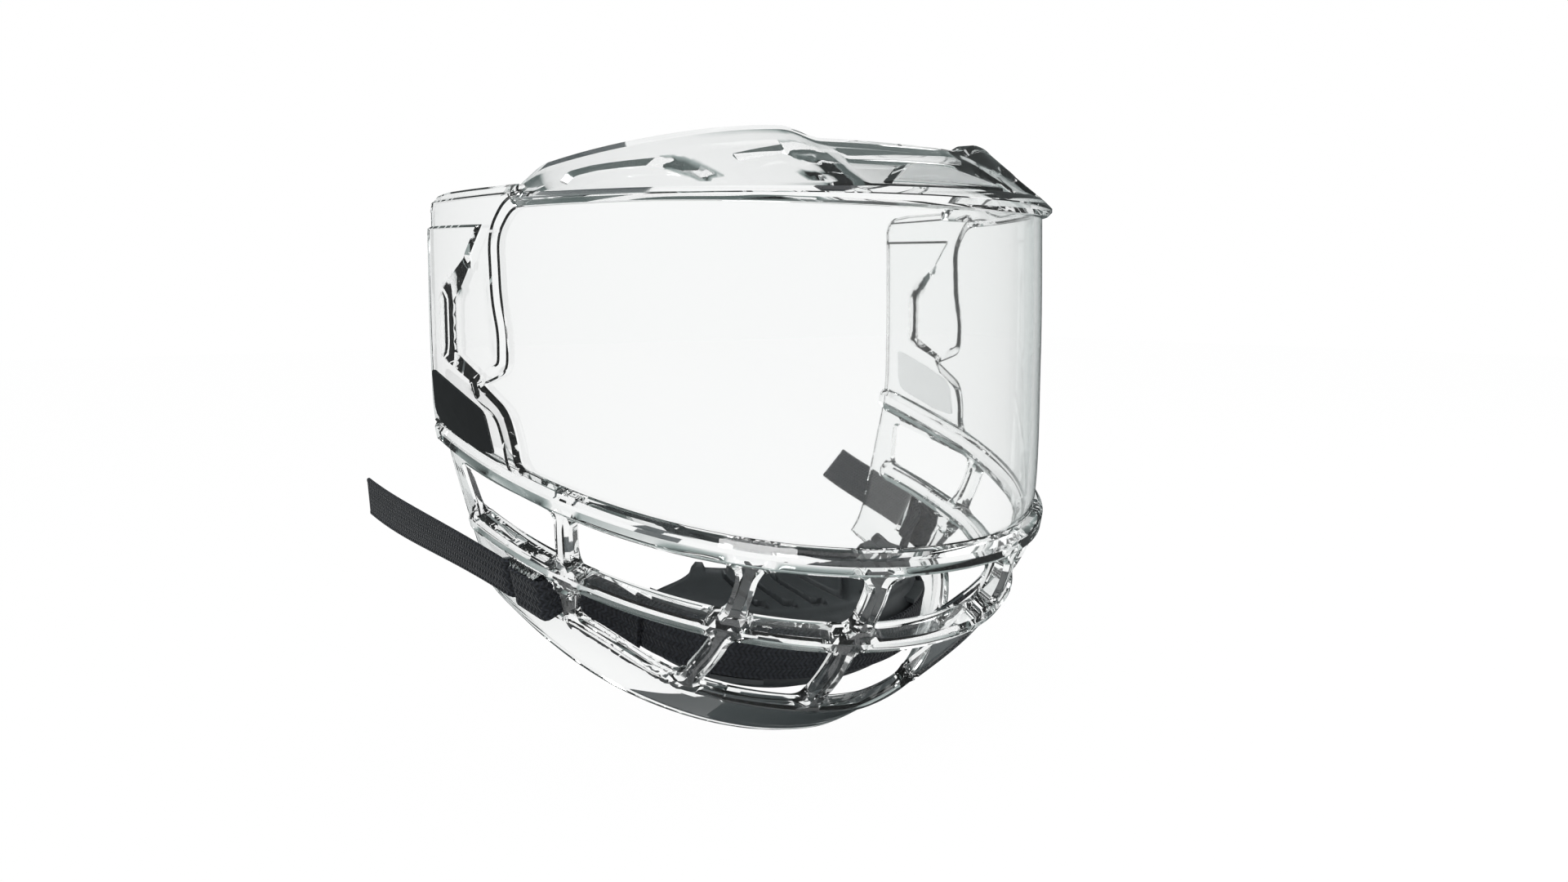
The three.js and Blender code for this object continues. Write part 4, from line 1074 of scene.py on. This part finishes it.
def pad_piece():
    shares = np.linspace(-PAD_END, PAD_END, 140)
    downs = np.linspace(STRAP_LINE - PAD_HALF, STRAP_LINE + PAD_HALF, 60)
    share, down = (a.ravel() for a in np.meshgrid(shares, downs))
    corner = smooth((np.abs(share) - 0.50) / 0.30)
    down = STRAP_LINE + (down - STRAP_LINE) * (1 - 0.36 * corner)
    edge = np.minimum((PAD_END - np.abs(share)) * SHARE_MM,
                      (PAD_HALF - np.abs(down - STRAP_LINE)) * RAIL_MM)
    soft = ramp(edge, (0, 0.9), (0.8, 0.35), (2.0, 0))
    shape = (len(downs), len(shares), 3)
    back = cup_lift(share, down, -CUP_WALL - PAD_GAP - soft * 0.5).reshape(shape)
    front = cup_lift(share, down, pad_inside(share, down) + soft * 0.8).reshape(shape)
    return grid_shell("foam_pad", back, front)


def run_piece(name):
    """The strap behind the cheek, from the post to the end of the cup's strap."""
    ends, out = cup_point(RUN_SHARES, STRAP_LINE), cup_out(RUN_SHARES[1], STRAP_LINE)[0]
    along = unit(ends[2] - ends[0])
    end = ends[1] + out * RUN_PROUD
    start, leave = by_post(RUN_START, RUN_DEPTH), by_post(FRONT_SLOT[0], RUN_DEPTH)
    points, share = even(bezier(start, leave, end + along * 2 * WEBBING_HALF, end))
    run_up = np.cross(out, along)
    run_up = run_up * np.sign(run_up[2])
    ups = post_up * (1 - share[:, None]) + run_up * share[:, None]
    return sweep(name, points, ups, band_profile())


cup = grid_shell("cup_shell", *cup_grid(380, 84))
cup_strap = sweep("chin_strap_front", *cup_line(-0.92, 0.92, 110, 1.1), band_profile())
pad = pad_piece()
straps = []
for make, name, part in ((keeper_piece, "strap_keeper", "strap_loop"),
                         (spare_piece, "strap_spare", "strap_fold"),
                         (run_piece, "strap_inner", "strap_run")):
    for piece, side in zip(both_sides(make, name), ("left", "right")):
        settle(piece, "shield", "webbing", f"{side}_{part}")
        straps.append(piece)
left_tail = tail_piece("left_webbing_tail", 60, 16, 3, (0.57, 0.0, 0.82), bow=2, drop=0.3)
right_tail = mirrored(tail_piece("right_webbing_tail", 120, 12, 8, (0.09, -0.09, 0.98)))
bridges = both_sides(bridge_piece, "cup_bridge")
settle(left_tail, "left_tail", "webbing", "left_strap_tail")
settle(right_tail, "right_tail", "webbing", "right_strap_tail")
settle(cup, "chin_cup", "cup_rubber", "chin_cup")
settle(cup_strap, "chin_cup", "webbing", "cup_strap")
settle(pad, "chin_cup", "pad_foam", "chin_pad")
for piece in bridges:
    settle(piece, "chin_cup", "cup_rubber")


LABEL_RAISE, LABEL_GAP, LABEL_INSET = 0.5, 0.05, 0.985


def label_piece():
    line = closed_line(LABEL, step=1.5)
    inner = line.mean(0) + (line - line.mean(0)) * LABEL_INSET
    flat, faces = triangles([(line, True), (inner, True)], LABEL_SPACING)
    flat, faces = trimmed(flat, faces[inside(flat[faces].mean(1), line)])
    upper = FIELD_HEIGHT + LABEL_RAISE - ramp(to_closed(flat, line), (0, 0.25), (0.4, 0))
    lower = FIELD_HEIGHT + LABEL_GAP
    sheet = two_faced("brow_plate", on_slope(flat, upper), on_slope(flat, lower), faces)
    return shade(face_out(sheet), 30)


brow_plate = label_piece()
settle(brow_plate, "shield", "label_film", "brow_label")


# Materials
class Nodes:
    """A node tree with short ways to add to it."""

    def __init__(self, tree):
        self.tree = tree

    def feed(self, socket, value):
        """Sets a socket to a constant, or links it to the output of another node."""
        if isinstance(value, bpy.types.NodeSocket):
            self.tree.links.new(value, socket)
        else:
            socket.default_value = value

    def node(self, kind, inputs, **settings):
        made = self.tree.nodes.new(f"ShaderNode{kind}")
        for key, value in settings.items():
            setattr(made, key, value)
        for key, value in inputs.items():
            self.feed(made.inputs[key], value)
        return made.outputs[0]

    def math(self, operation, *values, **settings):
        return self.node("Math", dict(enumerate(values)), operation=operation, **settings)

    def output(self, kind, name):
        return self.tree.nodes.new(f"ShaderNode{kind}").outputs[name]

    def split(self, coordinates):
        made = self.tree.nodes.new("ShaderNodeSeparateXYZ")
        self.feed(made.inputs[0], self.output("TexCoord", coordinates))
        return made.outputs

    def blend(self, share, a, b):
        made = self.tree.nodes.new("ShaderNodeMix")
        made.data_type = "RGBA"
        for key, value in (("Factor", share), ("A", a), ("B", b)):
            self.feed(made.inputs[key], value)
        return made.outputs["Result"]

    def ray(self, kind):
        return self.output("LightPath", f"Is {kind} Ray")

    def mirror_ray(self):
        """One for rays that only mirror, zero for those that pass through a piece."""
        return self.math("SUBTRACT", self.ray("Glossy"), self.ray("Transmission"), use_clamp=True)


class Look(Nodes):
    """A material with its nodes close at hand."""

    def __init__(self, name, color, roughness, **more):
        self.mat = bpy.data.materials.new(name)
        self.mat.use_nodes = True
        super().__init__(self.mat.node_tree)
        self.shader = self.tree.nodes["Principled BSDF"]
        self.set("Base Color", (*color, 1))
        self.set("Roughness", roughness)
        for key, value in more.items():
            self.set(key.replace("_", " "), value)

    def set(self, name, value):
        self.feed(self.shader.inputs[name], value)

    def noise(self, scale, detail):
        place = self.output("TexCoord", "Object")
        return self.node("TexNoise", {"Scale": scale, "Detail": detail, "Vector": place})

    def bump(self, height, strength, distance):
        self.set("Normal", self.node("Bump", {
            "Strength": strength, "Distance": distance, "Height": height}))

    def tones(self, value, dark, light):
        self.set("Base Color", self.blend(value, (*dark, 1), (*light, 1)))

    def levels(self, value, low, high):
        self.set("Roughness", self.node("MapRange", {
            "Value": value, "To Min": low, "To Max": high}))


def dress(obj, look):
    obj.data.materials.clear()
    obj.data.materials.append(look.mat)


clear = Look("clear_polycarbonate", (0.985, 0.996, 0.992), 0.02, IOR=1.58,
             Transmission_Weight=0.992)
clear.levels(clear.noise(35, 2), 0.012, 0.035)
grazing = clear.node("MapRange", {
    "Value": clear.output("LayerWeight", "Facing"), "From Min": 0.62, "From Max": 0.98})
clear.tones(grazing, (0.990, 0.998, 0.995), (0.54, 0.65, 0.635))

webbing = Look("woven_webbing", (0.014, 0.017, 0.021), 0.75, Sheen_Weight=0.1, Sheen_Roughness=0.3)
length, width, _ = webbing.split("UV")
slant = webbing.math("MULTIPLY", webbing.math("PINGPONG", width, 2.0), 2.6)
rib = webbing.math("SINE", webbing.math("ADD", webbing.math("MULTIPLY", length, 3.6), slant))
yarn = webbing.math("SINE", webbing.math("MULTIPLY", width, 5.2))
pattern = webbing.math("MULTIPLY_ADD", yarn, 0.35, rib)
pattern = webbing.math("MULTIPLY_ADD", pattern, 0.35, 0.5)
fuzz = webbing.noise(900, 2)
webbing.bump(pattern, 0.9, 0.0005)
webbing.tones(webbing.math("MULTIPLY", pattern, fuzz), (0.004, 0.005, 0.007), (0.036, 0.043, 0.058))
webbing.levels(fuzz, 0.6, 0.9)

rubber = Look("moulded_rubber", (0.02, 0.022, 0.024), 0.5)
rubber.bump(rubber.noise(1400, 2), 0.35, 0.0002)
rubber.tones(rubber.noise(60, 4), (0.030, 0.035, 0.038), (0.046, 0.052, 0.056))
rubber.levels(rubber.noise(220, 3), 0.38, 0.58)

foam = Look("foam_lining", (0.03, 0.032, 0.035), 0.95, Sheen_Weight=0.08, Sheen_Roughness=0.5)
cells = foam.node("TexVoronoi", {"Scale": 900, "Vector": foam.output("TexCoord", "Object")})
foam.bump(cells, 0.5, 0.0003)
foam.tones(foam.noise(300, 3), (0.018, 0.020, 0.022), (0.040, 0.043, 0.047))

plate = Look("badge_film", (0.010, 0.011, 0.012), 0.35)
plate.bump(plate.noise(700, 2), 0.15, 0.0001)
plate.levels(plate.noise(120, 3), 0.28, 0.42)
film = Look("label_film", (0.97, 0.975, 0.975), 0.5, IOR=1.2, Transmission_Weight=0.86)
film.tones(film.noise(160, 2), (0.955, 0.965, 0.965), (0.98, 0.985, 0.985))
film.bump(film.noise(900, 2), 0.1, 0.0001)

dress(shield, clear)
for piece in straps + [left_tail, right_tail, cup_strap]:
    dress(piece, webbing)
for piece in [cup] + bridges:
    dress(piece, rubber)
dress(pad, foam)
dress(brow_plate, film)
node_looks = {"chin_cup": rubber, "chin_pad": foam, "right_badge": plate, "left_label": film,
              "brow_label": film}
for node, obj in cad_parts.items():
    look = node_looks.get(node, clear if node in CLEAR else webbing)
    if not obj.material_slots:
        obj.data.materials.append(None)
    for slot in obj.material_slots:
        slot.link = "OBJECT"
        slot.material = look.mat

# Camera at the photograph's angle
EYE = np.array([-249.65, -398.61, -22.76])
AZIMUTH, ELEVATION = math.radians(-36.4), math.radians(7.2)
scene = bpy.context.scene
camera_data = bpy.data.cameras.new("camera")
camera_data.sensor_width = 36
camera_data.lens = 27
camera = add_object("camera", camera_data)
ahead = np.array([-math.sin(AZIMUTH), math.cos(AZIMUTH), 0]) * math.cos(ELEVATION)
ahead = ahead + np.array([0, 0, -math.sin(ELEVATION)])
across = unit(np.cross(ahead, [0, 0, 1]))
upward = np.cross(across, ahead)
rows = zip(across, upward, -ahead, (EYE + OFFSET) * MM)
camera.matrix_world = Matrix([*rows, (0, 0, 0, 1)])
scene.camera = camera

# Floor, in metres. It is white where it is seen directly or through a piece, and dim in gloss.
FLOOR_GAP, FLOOR_SIZE, FLOOR_GLOW, CARD_GAP = 0.004, 6, 0.98, 0.001
FLOOR_SHADE = (0.11, 0.12, 0.12, 1)
floor_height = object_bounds()[0][2] - FLOOR_GAP
bpy.ops.mesh.primitive_plane_add(size=FLOOR_SIZE, location=(0, 0, floor_height))
floor = bpy.context.object
floor.name = "floor"
ground = Look("floor", (0.95, 0.955, 0.955), 0.9)
direct = ground.math("MAXIMUM", ground.ray("Camera"), ground.ray("Transmission"))
lit = ground.node("MixShader", {
    0: ground.math("MULTIPLY", direct, FLOOR_GLOW), 1: ground.shader.outputs[0],
    2: ground.node("Emission", {"Color": (1, 1, 1, 1)})})
seen = ground.node("MixShader", {
    0: ground.mirror_ray(), 1: lit, 2: ground.node("BsdfDiffuse", {"Color": FLOOR_SHADE})})
ground.feed(ground.tree.nodes["Material Output"].inputs["Surface"], seen)
dress(floor, ground)


def dark_card(name, place, size, turn, look):
    """A card on the floor that only the clear plastic shows."""
    bpy.ops.mesh.primitive_plane_add(
        size=1, location=(*place, floor_height + CARD_GAP), rotation=(0, 0, math.radians(turn)))
    card = bpy.context.object
    card.name = name
    card.scale = (*size, 1)
    card.visible_camera = card.visible_diffuse = card.visible_shadow = False
    dress(card, look)


dark = Look("card", (0.07, 0.085, 0.09), 0.9)
dark_card("chin_card", (0.04, 0.065), (0.17, 0.09), 0, dark)
dark_card("crest_card", (0.015, 0.342), (0.25, 0.045), 9, dark)

# World: white to the camera, even for diffuse rays, dim in gloss and banded through the plastic
SKY_BANDS = [(0.0, 0.985), (0.61, 0.99), (0.67, 0.45), (0.77, 0.16), (1.0, 0.10)]
GLOSS_TONE, DIFFUSE_TONE = (0.12, 0.135, 0.135, 1), (0.80, 0.81, 0.81, 1)
world = bpy.data.worlds.new("world")
scene.world = world
world.use_nodes = True
air = Nodes(world.node_tree)
sky = air.tree.nodes.new("ShaderNodeValToRGB")
air.feed(sky.inputs[0], air.node("MapRange", {
    "From Min": -1, "Value": air.split("Generated")["Z"]}))
while len(sky.color_ramp.elements) < len(SKY_BANDS):
    sky.color_ramp.elements.new(0.5)
for element, (where, level) in zip(sky.color_ramp.elements, SKY_BANDS):
    element.position = where
    tint = 0.12 * (1 - level)
    element.color = (level * (1 - 2 * tint), level, level * (1 - tint * 0.3), 1)
tone = air.blend(air.mirror_ray(), sky.outputs[0], GLOSS_TONE)
tone = air.blend(air.ray("Diffuse"), tone, DIFFUSE_TONE)
tone = air.blend(air.ray("Camera"), tone, (1, 1, 1, 1))
air.feed(air.tree.nodes["Background"].inputs["Color"], tone)


def lamp(name, place, size, power, aim=(0, 0.02, -0.06)):
    data = bpy.data.lights.new(name, "AREA")
    data.shape, data.size, data.energy = "SQUARE", size, power
    obj = add_object(name, data)
    obj.location = place
    obj.rotation_euler = (Vector(aim) - Vector(place)).to_track_quat("-Z", "Y").to_euler()


lamp("key", (-0.9, -0.9, 1.1), 0.7, 16)
lamp("fill", (1.1, -0.5, 0.6), 0.9, 5)
scene.view_settings.view_transform = "Standard"
